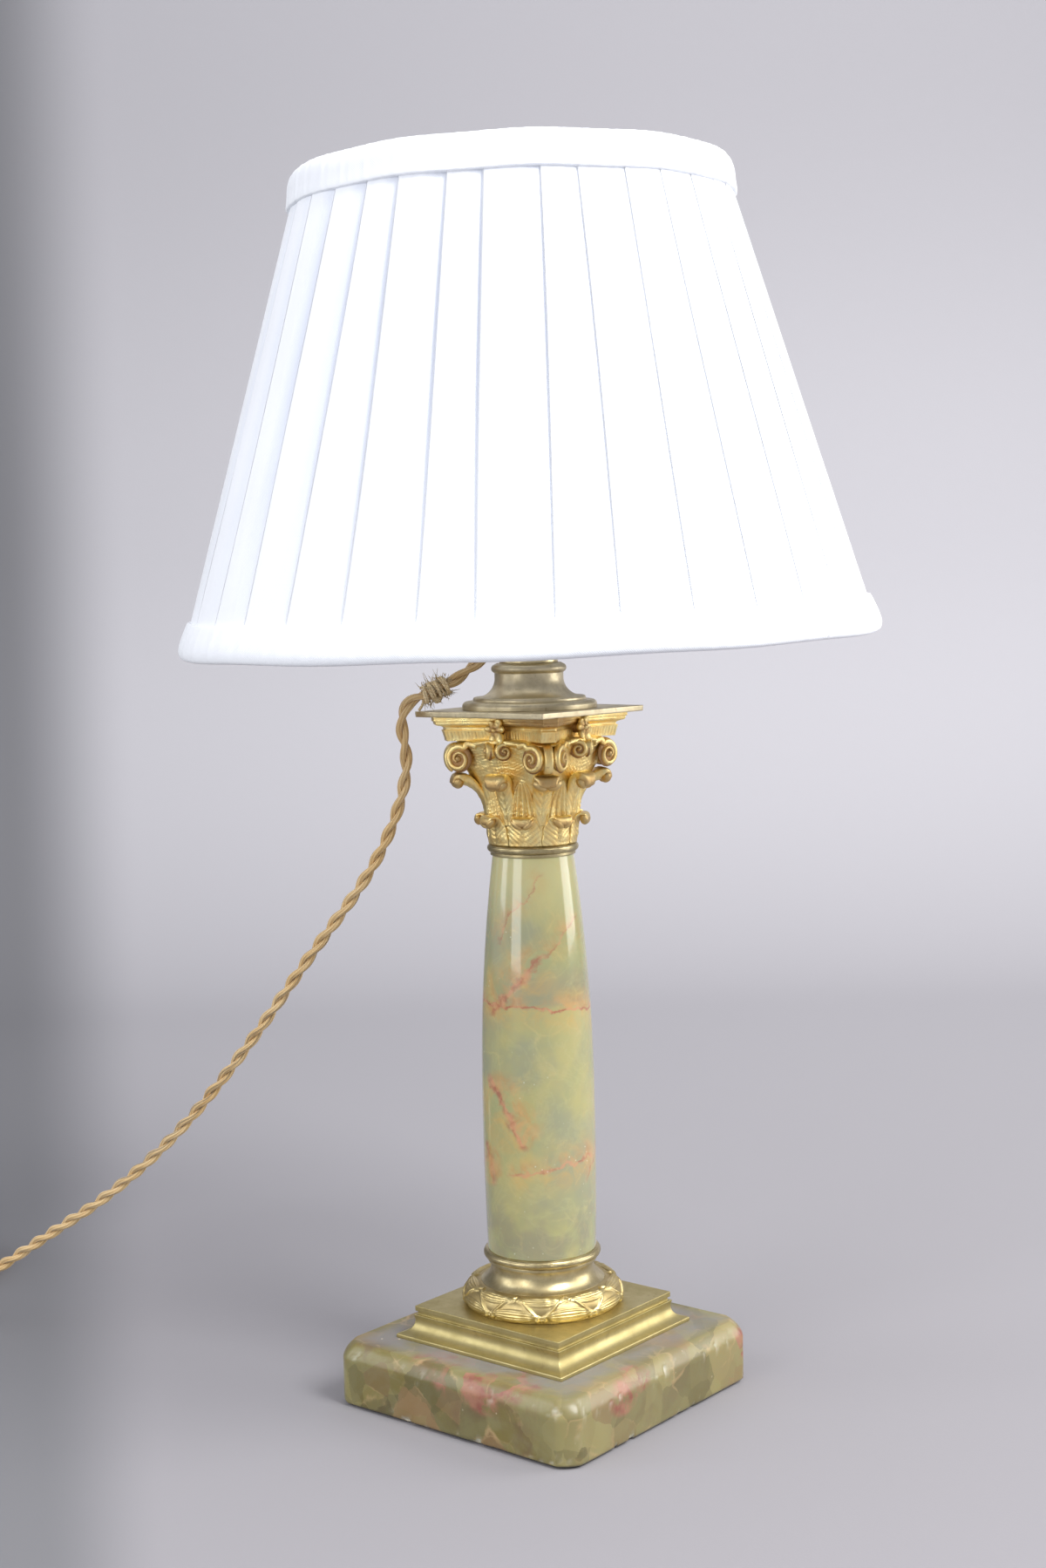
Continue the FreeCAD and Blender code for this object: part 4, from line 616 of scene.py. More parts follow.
def onyx_of_column():
    looks = Looks(
        "column_onyx", Coat_Weight=0.8, Coat_Roughness=0.05, IOR=1.5,
        Subsurface_Weight=0.15, Subsurface_Scale=0.004,
    )
    x, y, z = looks.axes()
    fine = looks.noise(10, 6.0, 0.6, warp=0.7)
    cloud = looks.noise(36, 5.0, 0.55, stretch=(1, 1, 0.8), warp=0.8).between(0.40, 0.60)
    smoke = z.between(176, 180) * (1.0 - z.between(186, 200)) * (x + 4.0).between(-6, 12)
    low = (1.0 - z.between(74, 100)) * looks.noise(22, 3.0).between(0.4, 0.6)
    shards = looks.cells(19, "DISTANCE_TO_EDGE", bent=looks.bend(20, 0.5)).between(0.0, 0.05)
    wisps = (looks.noise(26, 6.0, 0.62, warp=1.6) - 0.5).distance().between(0.0, 0.04)
    red, warm = veins_of(looks, (x, y, z), fine)
    rusty = looks.noise(5, 4.0).between(0.38, 0.6)
    rust = looks.mix(rusty, (0.40, 0.09, 0.065), (0.66, 0.30, 0.17))
    flecks = (1.0 - looks.cells(3.4).between(0.03, 0.14)) * looks.noise(20, 2.0).between(0.5, 0.6)
    colour = (0.385, 0.39, 0.18)  # pale green
    for share, tint in (
        (cloud, (0.47, 0.43, 0.18)),  # yellow clouds
        (looks.noise(44, 4.0, 0.5).between(0.45, 0.62), (0.34, 0.345, 0.205)),  # grey clouds
        (z.between(205, 240) * 0.7, (0.70, 0.64, 0.30)),  # it pales towards its top
        (smoke * 0.45, (0.25, 0.22, 0.19)),  # smoky band over the long vein
        (low * 0.6, (0.27, 0.245, 0.17)),  # it darkens towards its foot
        ((1.0 - shards) * fine.between(0.45, 0.65) * 0.28, (0.62, 0.52, 0.22)),
        ((1.0 - wisps) * 0.12, (0.58, 0.55, 0.28)),
        (warm * fine.between(0.3, 0.7) * 0.75, (0.66, 0.40, 0.12)),
        (red * 0.75, rust),
        (flecks * 0.5, (0.80, 0.82, 0.66)),
    ):
        colour = looks.mix(share, colour, tint)
    looks.paint(Base_Color=colour, Roughness=looks.noise(12, 3.0) * 0.08 + 0.1)
    return looks.bump(looks.noise(30, 2.0), 0.05, 0.4).material


# %% The plinth's onyx
BLUSHES = (  # places on the plinth where the stone is red or pink: centre and radius
    ((6.0, -60.0, 27.0), 19.0), ((20.0, -63.0, 20.0), 11.0), ((-14.0, -58.0, 28.0), 13.0),
    ((63.0, -30.0, 20.0), 12.0), ((64.0, -18.0, 25.0), 10.0), ((63.0, 58.0, 18.0), 12.0),
    ((-55.0, 40.0, 20.0), 16.0), ((10.0, 63.0, 12.0), 15.0), ((32.0, -56.0, 27.0), 15.0),
)


def onyx_of_plinth():
    looks = Looks(
        "plinth_onyx", Coat_Weight=0.25, Coat_Roughness=0.2, IOR=1.5,
        Subsurface_Weight=0.1, Subsurface_Scale=0.003,
    )
    axes = x, y, z = looks.axes()
    brown = looks.noise(30, 5.0, 0.6, warp=0.6).between(0.5, 0.66)
    layers = [
        (looks.noise(22, 6.0, 0.6, warp=0.9).between(0.38, 0.62), (0.225, 0.20, 0.078)),  # sage
        (brown * 0.8, (0.15, 0.088, 0.042)),
        # painted light: the side towards +X is painted paler, as if more light fell on it
        (x.between(50, 64) * 0.5, (0.36, 0.31, 0.14)),  # the side towards +X is paler
    ]
    for size, strength in ((30, 0.6), (13, 0.35)):  # broken pieces, large and small
        bent = looks.bend(size, 0.45)
        tone, warm = (looks.cell_tone(channel, size, bent) for channel in (0, 1))
        edge = looks.cells(size, "DISTANCE_TO_EDGE", bent=bent)
        line = (1.0 - edge.between(0.0, 0.05)) * looks.noise(13, 4.0).between(0.5, 0.66)
        layers += [
            ((1.0 - tone.between(0.0, 0.5)) * strength * 0.95, (0.10, 0.085, 0.03)),
            (tone.between(0.5, 1.0) * strength * 0.7, (0.32, 0.285, 0.115)),
            (warm.between(0.84, 0.92) * strength * 0.9, (0.29, 0.16, 0.075)),
            (line * strength, (0.52, 0.36, 0.17)),  # cream line between them
        ]
    red = most_of(
        [1.0 - squared_distance(axes, *blush, upright=2.0).between(0.2, 1.0) for blush in BLUSHES]
    )
    shards = looks.cell_tone(2, 9, looks.bend(12, 0.5)).between(0.05, 0.6)
    red = (red * 1.7 * looks.noise(8, 5.0, 0.65).between(0.3, 0.62) * shards).held()
    pinkish = looks.noise(9, 4.0).between(0.4, 0.6)
    pink = looks.mix(pinkish, (0.27, 0.065, 0.05), (0.40, 0.17, 0.11))
    dust = z.between(26.8, 28.0) * looks.noise(18, 4.0).between(0.2, 0.55)
    near_step = 1.0 - x.distance().most(y.distance()).between(52, 64)
    chips = looks.stored("chip").held()
    specks = (1.0 - looks.cells(8.0).between(0.03, 0.09)) * looks.noise(30, 1.0).between(0.55, 0.62)
    layers += [
        (red * 0.8, pink),
        (dust * near_step * 0.8, (0.22, 0.21, 0.205)),
        (chips * 0.85, (0.74, 0.72, 0.60)),
        (specks * 0.8, (0.72, 0.62, 0.46)),
    ]
    colour = (0.19, 0.15, 0.032)  # olive
    for share, tint in layers:
        colour = looks.mix(share, colour, tint)
    roughness = (looks.noise(9, 3.0) * 0.2 + dust * 0.4 + chips * 0.4 + 0.24).held()
    looks.paint(Base_Color=colour, Roughness=roughness)
    return looks.bump(looks.noise(2.5, 4.0) * (chips + 0.1), 0.3, 0.5).material


# %% [markdown]
# The plinth's edges have been knocked: small chips, deepest along its foot and at its corners,
# are pushed in where a ripple is high and an edge is near.

# %% The plinth
PLINTH_FOOT, PLINTH_TOP, PLINTH_HALF = 0.8, 28.0, 66.5
plinth_outline = profile(
    (6.0, PLINTH_FOOT), (64.9, PLINTH_FOOT), (PLINTH_HALF, 2.4, 0.2), (PLINTH_HALF, 21.0),
    (61.9, PLINTH_TOP, 0.09), (6.0, PLINTH_TOP), ease=0.7,
)
wall = np.linspace(3.6, 19.6, 9)  # rows down the flat side, for the chips to move
where = int(np.argmax((plinth_outline[:, 0] > 66.4) & (plinth_outline[:, 1] > 3.4)))
rows = np.stack([wall * 0 + PLINTH_HALF, wall], axis=1)
plinth_outline = np.insert(plinth_outline, where, rows, axis=0)
corner = np.interp(plinth_outline[:, 0], [6, 60, PLINTH_HALF], [1.0, 6.0, 7.4])
points = squared(plinth_outline, corner, 110, flat=0.55)
across = np.abs(points[..., :2])
reach = across.max(axis=-1)
low_edge = np.exp(-((points[..., 2] - 1.4) ** 2) / 2.2)
high_edge = np.exp(-((points[..., 2] - 22.5) ** 2) / 6.0) * 0.45
corners = np.exp(-((across - 62) ** 2).sum(axis=-1) / 18) * 0.45
edges = np.clip((low_edge + high_edge + corners) * (reach > 58), 0, 1.2)
chip = np.clip(ripple(points, 7, 3) + 0.5 * ripple(points, 3, 4) - 0.55, 0, 1) * 2.2 * edges
chip = np.clip(chip, 0, 1)
points[..., :2] *= (1 - chip * 1.3 / np.maximum(reach, 1))[..., None]
points[..., :2] += (ripple(points, 30, 5) * 0.12)[..., None]
plinth = grid(points, closed_along=True, chip=chip)
new_piece("plinth", ["onyx_plinth"], plinth, onyx_of_plinth())

# %% [markdown]
# The column swells a little between its ends, as a classical one does. The square step is one
# moulding, mitred at its corners: a small foot, a cove, a thin groove and a slab. The scotia, the
# two rings, the cup and its collar are turned. The plate is sheet brass, very slightly uneven.

# %% Turned brass and the column
BORE = 5.1
COLUMN_FOOT, COLUMN_TOP = 66.4, 241.9
TURNED = (  # name, node, slot, finish, columns, and the profile with how far it is eased
    ("column", "onyx_column", "column_onyx", onyx_of_column(), 144, 0.22, (
        (BORE, COLUMN_FOOT), (24.1, COLUMN_FOOT), (24.95, 130.0, 0.005),
        (17.9, COLUMN_TOP, 0.0174), (BORE, COLUMN_TOP),
    )),
    ("scotia", "base_scotia", "wreath_brass", RING, 120, 0.22, (
        (BORE, 52.0), (27.6, 52.0), (23.2, 60.8, -0.2), (24.2, 60.8), (24.2, 62.4), (BORE, 62.4),
    )),
    ("low_ring", "lower_astragal", "aged_brass", RING, 144, 0.22, (
        (BORE, 62.4), (24.2, 62.4), (24.2, COLUMN_FOOT, 0.46), (BORE, COLUMN_FOOT),
    )),
    ("high_ring", "upper_astragal", "aged_brass", RING, 144, 0.22, (
        (BORE, COLUMN_TOP), (18.7, COLUMN_TOP), (18.7, 243.2), (18.4, 243.2),
        (18.4, 246.8, 0.46), (BORE, 246.8),
    )),
    ("cup", "neck_cup", "aged_brass", AGED, 144, 0.15, (
        (BORE, 305.6), (29.3, 305.6), (29.3, 306.5), (27.0, 309.0, 0.28), (24.6, 309.2),
        (24.6, 310.0), (24.2, 310.8), (15.0, 319.8, -0.24), (15.0, 321.0), (15.3, 321.3),
        (15.1, 324.8, 0.34), (14.0, 325.4), (BORE, 325.4),
    )),
    ("collar", "neck_collar", "fitting_brass", FITTING, 120, 0.22, (
        (BORE, 325.4), (12.8, 325.4), (12.8, 328.4), (12.2, 329.0), (BORE, 329.0),
    )),
)
for name, node, slot, finish, columns, ease, corners in TURNED:
    outline = profile(*corners, ease=ease)
    points = swung(outline[:, :1], full_turn(columns), outline[:, 1:])
    new_piece(name, [node], grid(points, closed_along=True), finish)

# %% The step and the plate
step = profile(
    (BORE, 28.0), (46.65, 28.0), (46.65, 29.2), (46.05, 29.8, 0.2), (45.05, 30.1),
    (41.1, 37.6, -0.24), (41.1, 38.0), (39.7, 38.0), (39.7, 39.6), (40.6, 39.6), (40.6, 41.8),
    (BORE, 41.8), ease=0.16,
)
points = squared(step, np.minimum(step[:, 0] * 0.02, 0.5), 24)
new_piece("step", ["brass_step"], grid(points, closed_along=True), SATIN)
plate = profile((BORE, 303.1), (35.4, 303.1), (35.55, 305.6), (BORE, 305.6), ease=0.3)
points = squared(plate, np.minimum(plate[:, 0] * 0.02, 0.7), 30)
points[..., 2] += ripple(points, 40, 8) * 0.12
new_piece("plate", ["top_plate"], grid(points, closed_along=True), AGED)

# %% [markdown]
# ## The wreath
# The lowest moulding of the base is a torus cast as a laurel wreath. Two crossing ribbons bind
# it: they meet low on the outside and high on the inside, nine times round. The lens between two
# crossings holds a bundle of leaves, whose ribs run together at its ends. All of it is relief: a
# height in millimetres over the plain torus, from the place round it and the place up it.

# %% The wreath
WREATH_FOOT, WREATH_TOP = 41.8, 52.0
BINDINGS, BUNDLE_RIBS = 9, 2.5
BUNDLES = ((0.0, 0.22, 0.6, 0.7), (0.5, 0.72, 0.5, 0.6))  # shift round, height, plain and ribbed


def bored(r, z, angle, foot, top, worn):
    """A ring with the skin (r, z), closed by a bore from its foot to its top."""
    points = [swung(BORE, angle, foot), *swung(r, angle, z), swung(BORE, angle, top)]
    return grid(np.stack(points), closed_along=True, worn=np.pad(worn, ((1, 1), (0, 0))))


outline = arc((34.2, WREATH_FOOT), (27.8, WREATH_TOP), 0.38, 52)
angle = full_turn(702)
v = np.linspace(0, 1, len(outline))[:, None]
p = (angle * BINDINGS / (2 * math.pi) + 0.32)[None, :] % 1.0
relief = 0
for shift, middle, plain_height, rib_height in BUNDLES:
    lens_half = 0.2 * np.sin(math.pi * ((p + shift) % 1.0)) ** 0.8 + 0.012
    q = (v - middle) / lens_half
    ribs = 0.5 + 0.5 * np.cos(q * 2 * math.pi * BUNDLE_RIBS)
    relief = relief + np.sqrt(np.clip(1 - q**2, 0, 1)) * (plain_height + rib_height * ribs)
crossing = np.abs(p - np.round(p)) * 2  # 0 at a low crossing, 1 at a high one
ribbon = np.exp(-(((v - 0.1 - 0.82 * crossing) / 0.05) ** 2)) * 0.95
relief = np.maximum(relief, ribbon)
for side in (-0.07, 0.07):  # two beads on each low crossing
    aside = ((p + side + 0.5) % 1.0 - 0.5) * 24
    bead = 1 - (aside**2 + ((v - 0.13) * 14) ** 2) / 1.3
    relief = np.maximum(relief, np.sqrt(np.clip(bead, 0, 1)) * 1.5)
unrolled = np.stack(np.broadcast_arrays(p * 24, v * 14, 0.0), axis=-1)
relief = relief * (0.9 + 0.2 * ripple(unrolled, 5, 2))
lift = (relief - 0.9) * np.clip(np.minimum(v, 1 - v) * 9, 0, 1)
worn = np.clip(0.8 - relief, 0, 1) * 0.55
wreath = bored(*lifted(outline, lift), angle, WREATH_FOOT, WREATH_TOP, worn)
new_piece("wreath", ["wreath_torus"], wreath, CAST)

# %% [markdown]
# ## The capital
# Two rows of eight leaves stand round a bell, eight scrolls curl under the abacus's four horns,
# and a pair of small scrolls with a flower over it marks the middle of each side. A leaf is a
# closed shell round a spine in side view: each cross-section is a flat ellipse whose front half
# carries a sunk midrib and slanting veins, and the tip curls over and ends in two drops.

# %% Leaves
CAPITAL_FOOT, ABACUS_FOOT = 246.8, 293.5
CAPITAL_TURN = 6.0  # the casting sits a few degrees round from square on the column
HORNS = CAPITAL_TURN + 45 + 90 * np.arange(4)
SIDES = CAPITAL_TURN + 90 * np.arange(4)


def gilt_piece(name, node, parts):
    new_piece(name, [node], together(parts), GILT)


def evenly(part, worn):
    """A part that is equally worn all over."""
    points, faces, _ = part
    return points, faces, {"worn": np.full(len(points), worn)}


def moved(part, by):
    """A part moved by a step."""
    points, faces, data = part
    return points + by, faces, data


def spread(values, count):
    """A list of values read at count even steps, in straight lines between them."""
    return np.interp(np.linspace(0, 1, count), np.linspace(0, 1, len(values)), values)


def smooth_path(points, count):
    """A smooth curve through points: cubic pieces whose slopes come from their neighbours."""
    points = np.array(points, float)
    padded = np.concatenate([2 * points[:1] - points[1:2], points, 2 * points[-1:] - points[-2:-1]])
    t = np.linspace(0, len(points) - 1 - 1e-9, count)
    i, u = t.astype(int), (t % 1.0)[:, None]
    a, b, c, d = (padded[i + k] for k in range(4))
    return 0.5 * (
        2 * b + (c - a) * u + (2 * a - 5 * b + 4 * c - d) * u**2 + (3 * b - a - 3 * c + d) * u**3
    )


def dome(centre, radius, half_width, rings=9, columns=20):
    """A lens-shaped lump: an ellipsoid, its short axis along Y, closed at both poles."""
    lat = np.linspace(0, math.pi, rings + 2)[1:-1][:, None]
    angle = full_turn(columns)[None]
    x = centre[0] + radius * np.sin(lat) * np.cos(angle)
    z = centre[1] - radius * np.sin(lat) * np.sin(angle)
    return capped(np.stack([x, 0 * angle + half_width * np.cos(lat), z], axis=-1))


def leaf(spine, widths, thick, wrap, veins, slant, lobes, seed, deep, drop, rows=64, columns=48):
    """A leaf facing +X from its side view. Widths and thicknesses run from its foot to its tip.
    It is wrapped on a cylinder, its edge is lobed, and the veins are a cosine of (how far up, less
    how far aside times the slant). A drop is a radius, a half width and a slant."""
    path = smooth_path(spine, rows)
    v = np.linspace(0, 1, rows)[:, None]
    angle = full_turn(columns)
    across, front = np.cos(angle)[None], np.sin(angle)[None]
    edge = 1 + lobes * np.abs(np.sin(v * math.pi * 4.5 + 0.6)) - lobes
    y = across * spread(widths, rows)[:, None] / 2 * edge
    midrib = np.exp(-((across / 0.09) ** 2)) * -0.7
    vein = 0.5 + 0.5 * np.cos(2 * math.pi * (v * veins - np.abs(across) * slant))
    facing = np.clip(front, 0, 1) ** 0.4
    taper = np.clip(np.minimum(v * 8, (1 - v) * 9), 0.3, 1)
    body = np.clip((0.82 - v) * 8, 0.12, 1)  # the curled tip is almost smooth
    ribs = (midrib + (vein - 0.5) * deep * np.clip(1.15 - np.abs(across), 0, 1)) * facing * body
    shell = np.sign(front) * np.abs(front) ** 0.6 * spread(thick, rows)[:, None]
    depth = shell * taper + ribs * taper - y**2 / (2 * wrap)
    depth += np.random.default_rng(seed).normal(0, 0.045, depth.shape)
    x, z = lifted(path, depth)
    tip = np.clip((v - 0.7) / 0.14, 0, 1)
    worn = np.clip(tip * 0.62 + np.clip(0.42 - vein, 0, 1) * facing * body * 1.5 * deep, 0, 1)
    parts = [capped(np.stack([x, y, z], axis=-1), worn=np.append(worn, [0.2, 0.8]))]
    radius, half_width, lean = drop
    for side in (-1, 1):
        points, faces, data = evenly(dome((0.0, 0.0), radius, half_width, 11), 0.5)
        points[:, 2] += side * points[:, 1] * lean
        end = [path[-3, 0] - 0.1, side * half_width * 0.98, path[-3, 1] + 0.9]
        parts.append((points + end, faces, data))
    return moved(together(parts), [0, 0, CAPITAL_FOOT])


LOW_SPINE = (
    (19.1, 0.2), (19.2, 4.0), (19.5, 7.6), (20.3, 10.6), (22.0, 12.2), (23.7, 11.8), (24.2, 10.2),
    (23.4, 8.9),
)
CORNER_SPINE = (
    (19.6, 9.0), (20.2, 14.0), (21.2, 19.0), (23.4, 23.6), (26.4, 26.8), (29.6, 28.8),
    (32.0, 29.0), (33.2, 27.6), (32.8, 26.2),
)
SIDE_SPINE = (
    (19.6, 9.0), (20.0, 14.0), (20.7, 19.0), (21.8, 23.6), (23.6, 27.4), (25.9, 29.4),
    (27.8, 28.9), (28.4, 27.0), (27.4, 25.6),
)
TALL_THICKNESS = (0.8, 0.9, 1.4, 2.5, 3.0, 2.2)
low_leaf = leaf(
    LOW_SPINE, (14.4, 14.4, 13.8, 11.4, 9.8, 8.6, 6.0, 3), (0.8, 0.8, 0.8, 1.0, 1.3, 1.0), 19,
    12.0, 2.6, 0.05, 11, 0.7, (1.9, 2.6, 0.5),
)
corner_leaf = leaf(
    CORNER_SPINE, (5.5, 6.5, 8.0, 9.0, 10.0, 11.5, 11.5, 9.0, 4), TALL_THICKNESS, 15,
    11.0, 2.0, 0.1, 12, 0.4, (2.3, 3.2, 0.3),
)
side_leaf = leaf(
    SIDE_SPINE, (5.5, 6.5, 8.0, 9.0, 9.5, 10.5, 10.5, 8.0, 4), TALL_THICKNESS, 13,
    11.0, 2.0, 0.1, 13, 0.4, (2.2, 2.9, 0.35),
)
low_leaves = ring_of(low_leaf, CAPITAL_TURN + 22.5 + 45 * np.arange(8))
gilt_piece("low_leaves", "lower_leaves", low_leaves)
gilt_piece("high_leaves", "upper_leaves", ring_of(corner_leaf, HORNS) + ring_of(side_leaf, SIDES))

# %% [markdown]
# Between the tall leaves the bell itself carries pointed shoots, one inside another. Its ground is
# pricked all over and swells out towards the four horns, where the scrolls grow from it.

# %% The bell
BELL_CURVE = ((18.4, 0), (19.0, 8), (19.8, 17), (21.2, 27), (23.0, 36), (25.8, 43.5))
outline = np.concatenate([smooth_path(BELL_CURVE, 110), arc((27.0, 44.3), (27.0, 46.7), 0.35, 8)])
angle = full_turn(480)
r, z = outline[:, :1], outline[:, 1:]
square_angle = angle[None] - math.radians(CAPITAL_TURN)
eighth = math.pi / 4
aside = (square_angle / eighth % 1.0 - 0.5) * eighth * r
up = np.clip((z - 10) / 19, 0, 1)
nested = np.abs(aside) / (5.4 * np.sqrt(np.clip(1 - up**1.5, 0, 1)) + 0.01)
inside = np.clip((1.08 - nested) * 6, 0, 1)
inside = inside * np.clip((z - 9) / 3, 0, 1) * np.clip((29.5 - z) / 1.5, 0, 1)
shoots = (0.5 + 1.1 * (0.5 + 0.5 * np.cos(nested * 2 * math.pi * 2.0))) * inside
grains = ripple(swung(r, angle, z), 1.1, 6) * 0.2 * np.clip((z - 2) / 4, 0, 1)
horn = ((1 - np.cos(4 * square_angle)) / 2) ** 1.5  # 1 towards the abacus's four horns
flare = 6.8 * horn * np.clip((z - 20) / 14, 0, 1) * np.clip((46.7 - z) / 2.4, 0, 1)
worn = np.clip(inside * 0.55 - shoots * 0.6, 0, 0.6) + 0.05
r, z = r + shoots + flare + grains, z + CAPITAL_FOOT
gilt_piece("bell", "capital_bell", [bored(r, z, angle, CAPITAL_FOOT, ABACUS_FOOT, worn)])

# %% [markdown]
# A scroll is a ribbon seen on edge: its middle line comes out from under the abacus, goes over the
# top and winds inward about one and a half times, getting finer. It stands proud of a thin web,
# and a domed eye closes it. The two scrolls of a pair turn away from each other, and a rib covers
# the place where the rims of a corner pair meet.


# %% Scrolls
RIBBON_SIDES, LEAD_STEPS = 14, 16


def ribbon_tube(path, radial, half_width):
    """A ribbon about a path in the XZ plane: radial half thickness, and half width along Y. Its
    section is a flattened ellipse."""
    angle = full_turn(RIBBON_SIDES)
    c, s = (np.sign(wave) * np.abs(wave) ** 0.7 for wave in (np.cos(angle), np.sin(angle)))
    x, z = lifted(path, np.broadcast_to(radial, (len(path),))[:, None] * s[None])
    y = np.broadcast_to(half_width, (len(path),))[:, None] * c[None]
    return capped(np.stack([x, y, z], axis=-1))


def scroll(reach, height, radius, half_width, turns, lead, thick, snail):
    """A spiral from its outside in, over the top and outward; snail is how much its middle
    stands proud of its rim, on both sides."""
    angle = np.linspace(0, turns * 2 * math.pi, 82)
    shrink = (radius - thick) * (1 - 0.78 * (angle / angle[-1]) ** 1.3)
    x, z = reach + shrink * np.sin(angle - 0.5), height + shrink * np.cos(angle - 0.5)
    spiral = np.stack([x, z], axis=1)
    path = np.concatenate([smooth_path([*lead, spiral[0]], LEAD_STEPS)[:-1], spiral])
    steps, stops = np.arange(len(path)), [0, LEAD_STEPS, len(path)]
    fine = np.interp(steps, stops, [thick, thick, thick * 0.5])
    wide = np.interp(steps, stops, [half_width * 0.8, half_width, half_width * snail])
    points, faces, _ = ribbon_tube(path, fine, wide)
    dark = np.interp(steps, [0, LEAD_STEPS, 40, len(path)], [0.1, 0.05, 0.2, 0.5])
    web = dome((reach, height), radius * 0.9, half_width * 0.8)
    eye = dome((reach, height), radius * 0.24, half_width * snail * 1.1)
    worn = np.append(np.repeat(dark, RIBBON_SIDES), [0.2, 0.2])
    return together([(points, faces, {"worn": worn}), evenly(web, 0.9), evenly(eye, 0.6)])


def pairs_of(part, reach, turn, shift, angles):
    """Mirrored pairs: each scroll is turned about its own middle, then moved sideways."""
    parts = []
    for side in (1, -1):
        points, faces, data = moved(part, [-reach, 0, 0])
        one = (spun(points, side * turn), faces, data)
        parts += ring_of(moved(one, [reach, side * shift, 0]), angles)
    return parts


VOLUTE_REACH, VOLUTE_LEVEL, VOLUTE_RADIUS = 32.6, 285.1, 6.6
lead = ((24.4, 290.4), (26.6, 291.2), (28.6, 291.4))
volute = scroll(VOLUTE_REACH, VOLUTE_LEVEL, VOLUTE_RADIUS, 1.5, 1.5, lead, 1.35, 1.7)
turn = np.linspace(-0.7, 2.7, 30)
rib_radius = VOLUTE_RADIUS - 0.9
rib_x, rib_z = 32.8 + rib_radius * 0.8 * np.sin(turn), VOLUTE_LEVEL + rib_radius * np.cos(turn)
rib = evenly(ribbon_tube(np.stack([rib_x, rib_z], axis=1), 1.1, 2.0), 0.12)
volutes = pairs_of(volute, VOLUTE_REACH, -35.0, 6.0, HORNS)
gilt_piece("volutes", "corner_volutes", ring_of(rib, HORNS) + volutes)

HELIX_REACH, HELIX_LEVEL = 26.6, ABACUS_FOOT - 5.1
lead = ((21.6, HELIX_LEVEL + 3.2), (23.0, HELIX_LEVEL + 3.8), (24.4, HELIX_LEVEL + 4.0))
helix = scroll(HELIX_REACH, HELIX_LEVEL, 4.4, 1.7, 1.3, lead, 1.1, 1.6)
gilt_piece("helices", "inner_helices", pairs_of(helix, HELIX_REACH, -42.0, 3.5, SIDES))

# %% [markdown]
# The abacus has four hollow sides between cut horns. Its lowest band is fluted, with a cove, a
# bulging moulding and a flat fillet above. Its upper mouldings have tarnished on the side towards
# the photograph's left.

# %% The abacus
HORN, HOLLOW = 6.5, 6.4
BAND_FOOT, BAND_TOP, FLUTE_WIDTH = 293.0, 297.0, 1.5


def abacus_ring(reach, per_side=150, per_horn=8):
    """One level's outline: an arc of the hollow for each side, then a straight horn."""
    far = (reach + HORN / 2) / math.sqrt(2)
    near = far - HORN / math.sqrt(2)
    side = arc((far, -near), (far, near), -HOLLOW / (2 * near), per_side)
    horn = np.linspace((far, near), (near, far), per_horn + 2)[1:-1]
    ring = four_sides(np.concatenate([side, horn]))
    return spun(np.pad(ring, ((0, 0), (0, 1))), CAPITAL_TURN)[:, :2]


levels = profile(
    (0.0, 292.6), (37.3, 292.6), (38.7, 297.3), (37.9, 297.5), (38.3, 298.7, -0.2),
    (40.6, 299.4), (42.1, 301.0, 0.3), (42.9, 301.2), (43.0, 303.1), (0.0, 303.1), ease=0.14,
)
levels = levels[levels[:, 0] > 20]
band = np.linspace(BAND_FOOT + 0.1, BAND_TOP - 0.1, 8)  # rows for the flutes to move
band = np.stack([np.interp(band, [292.6, 297.3], [37.3, 38.7]), band], axis=1)
levels = np.insert(levels, 5, band, axis=0)
level = levels[:, 1:]
rings = np.stack([abacus_ring(reach) for reach in levels[:, 0]])
flutes = np.abs(np.sin(run_length(rings[5]) / FLUTE_WIDTH * math.pi))
in_band = np.clip((level - BAND_FOOT) / 0.7, 0, 1) * np.clip((BAND_TOP - level) / 0.7, 0, 1)
sunk = (1 - flutes**0.5) * in_band * 0.5
rings = rings * (1 - sunk / np.linalg.norm(rings, axis=-1))[..., None]
points = np.dstack([rings, np.broadcast_to(level, sunk.shape)])
points[..., :2] *= (1 + ripple(points, 2.2, 9) * 0.0022)[..., None]
bearing = np.degrees(np.arctan2(rings[..., 1], rings[..., 0]))
stain = np.exp(-(((bearing + 42) / 34) ** 4)) * np.clip((level - 298.6) / 0.5, 0, 1)
worn = np.append(np.clip(sunk * 1.1, 0, 0.5) + stain * 0.7, [0, 0])
gilt_piece("abacus_moulding", "abacus", [capped(points, worn=worn)])

# %% [markdown]
# A flower is six petals round a heart on a stalk. A petal is a lump tilted forward, made as if it
# grew along Y and then turned to its place round the flower's middle.

# %% Flowers
FLOWER_PLACE, PETALS = (26.8, 0, 297.6), 6
parts = []
draw = np.random.default_rng(31)
for i in range(PETALS):
    turn = 2 * math.pi * i / PETALS + draw.uniform(-0.15, 0.15)
    petal, faces, _ = dome((0.0, 0.0), 2.2, 1.4, 9, 18)
    x, y, z = (petal * [1.1, 1.0, 0.8]).T
    petal = np.stack([y + 0.45 * np.abs(x), x + 2.9, z], axis=-1) * draw.uniform(0.9, 1.25)
    worn = np.clip(1.15 - np.linalg.norm(petal[:, 1:], axis=1) * 0.26, 0, 1)
    c, s = math.cos(turn), math.sin(turn)
    parts.append((petal @ np.array([[1, 0, 0], [0, c, s], [0, -s, c]]), faces, {"worn": worn}))
heart, faces, _ = dome((0.0, 0.0), 1.2, 1.3, 7, 14)
parts.append(evenly((heart[:, [1, 0, 2]] + [1.2, 0, 0], faces, {}), 0.3))
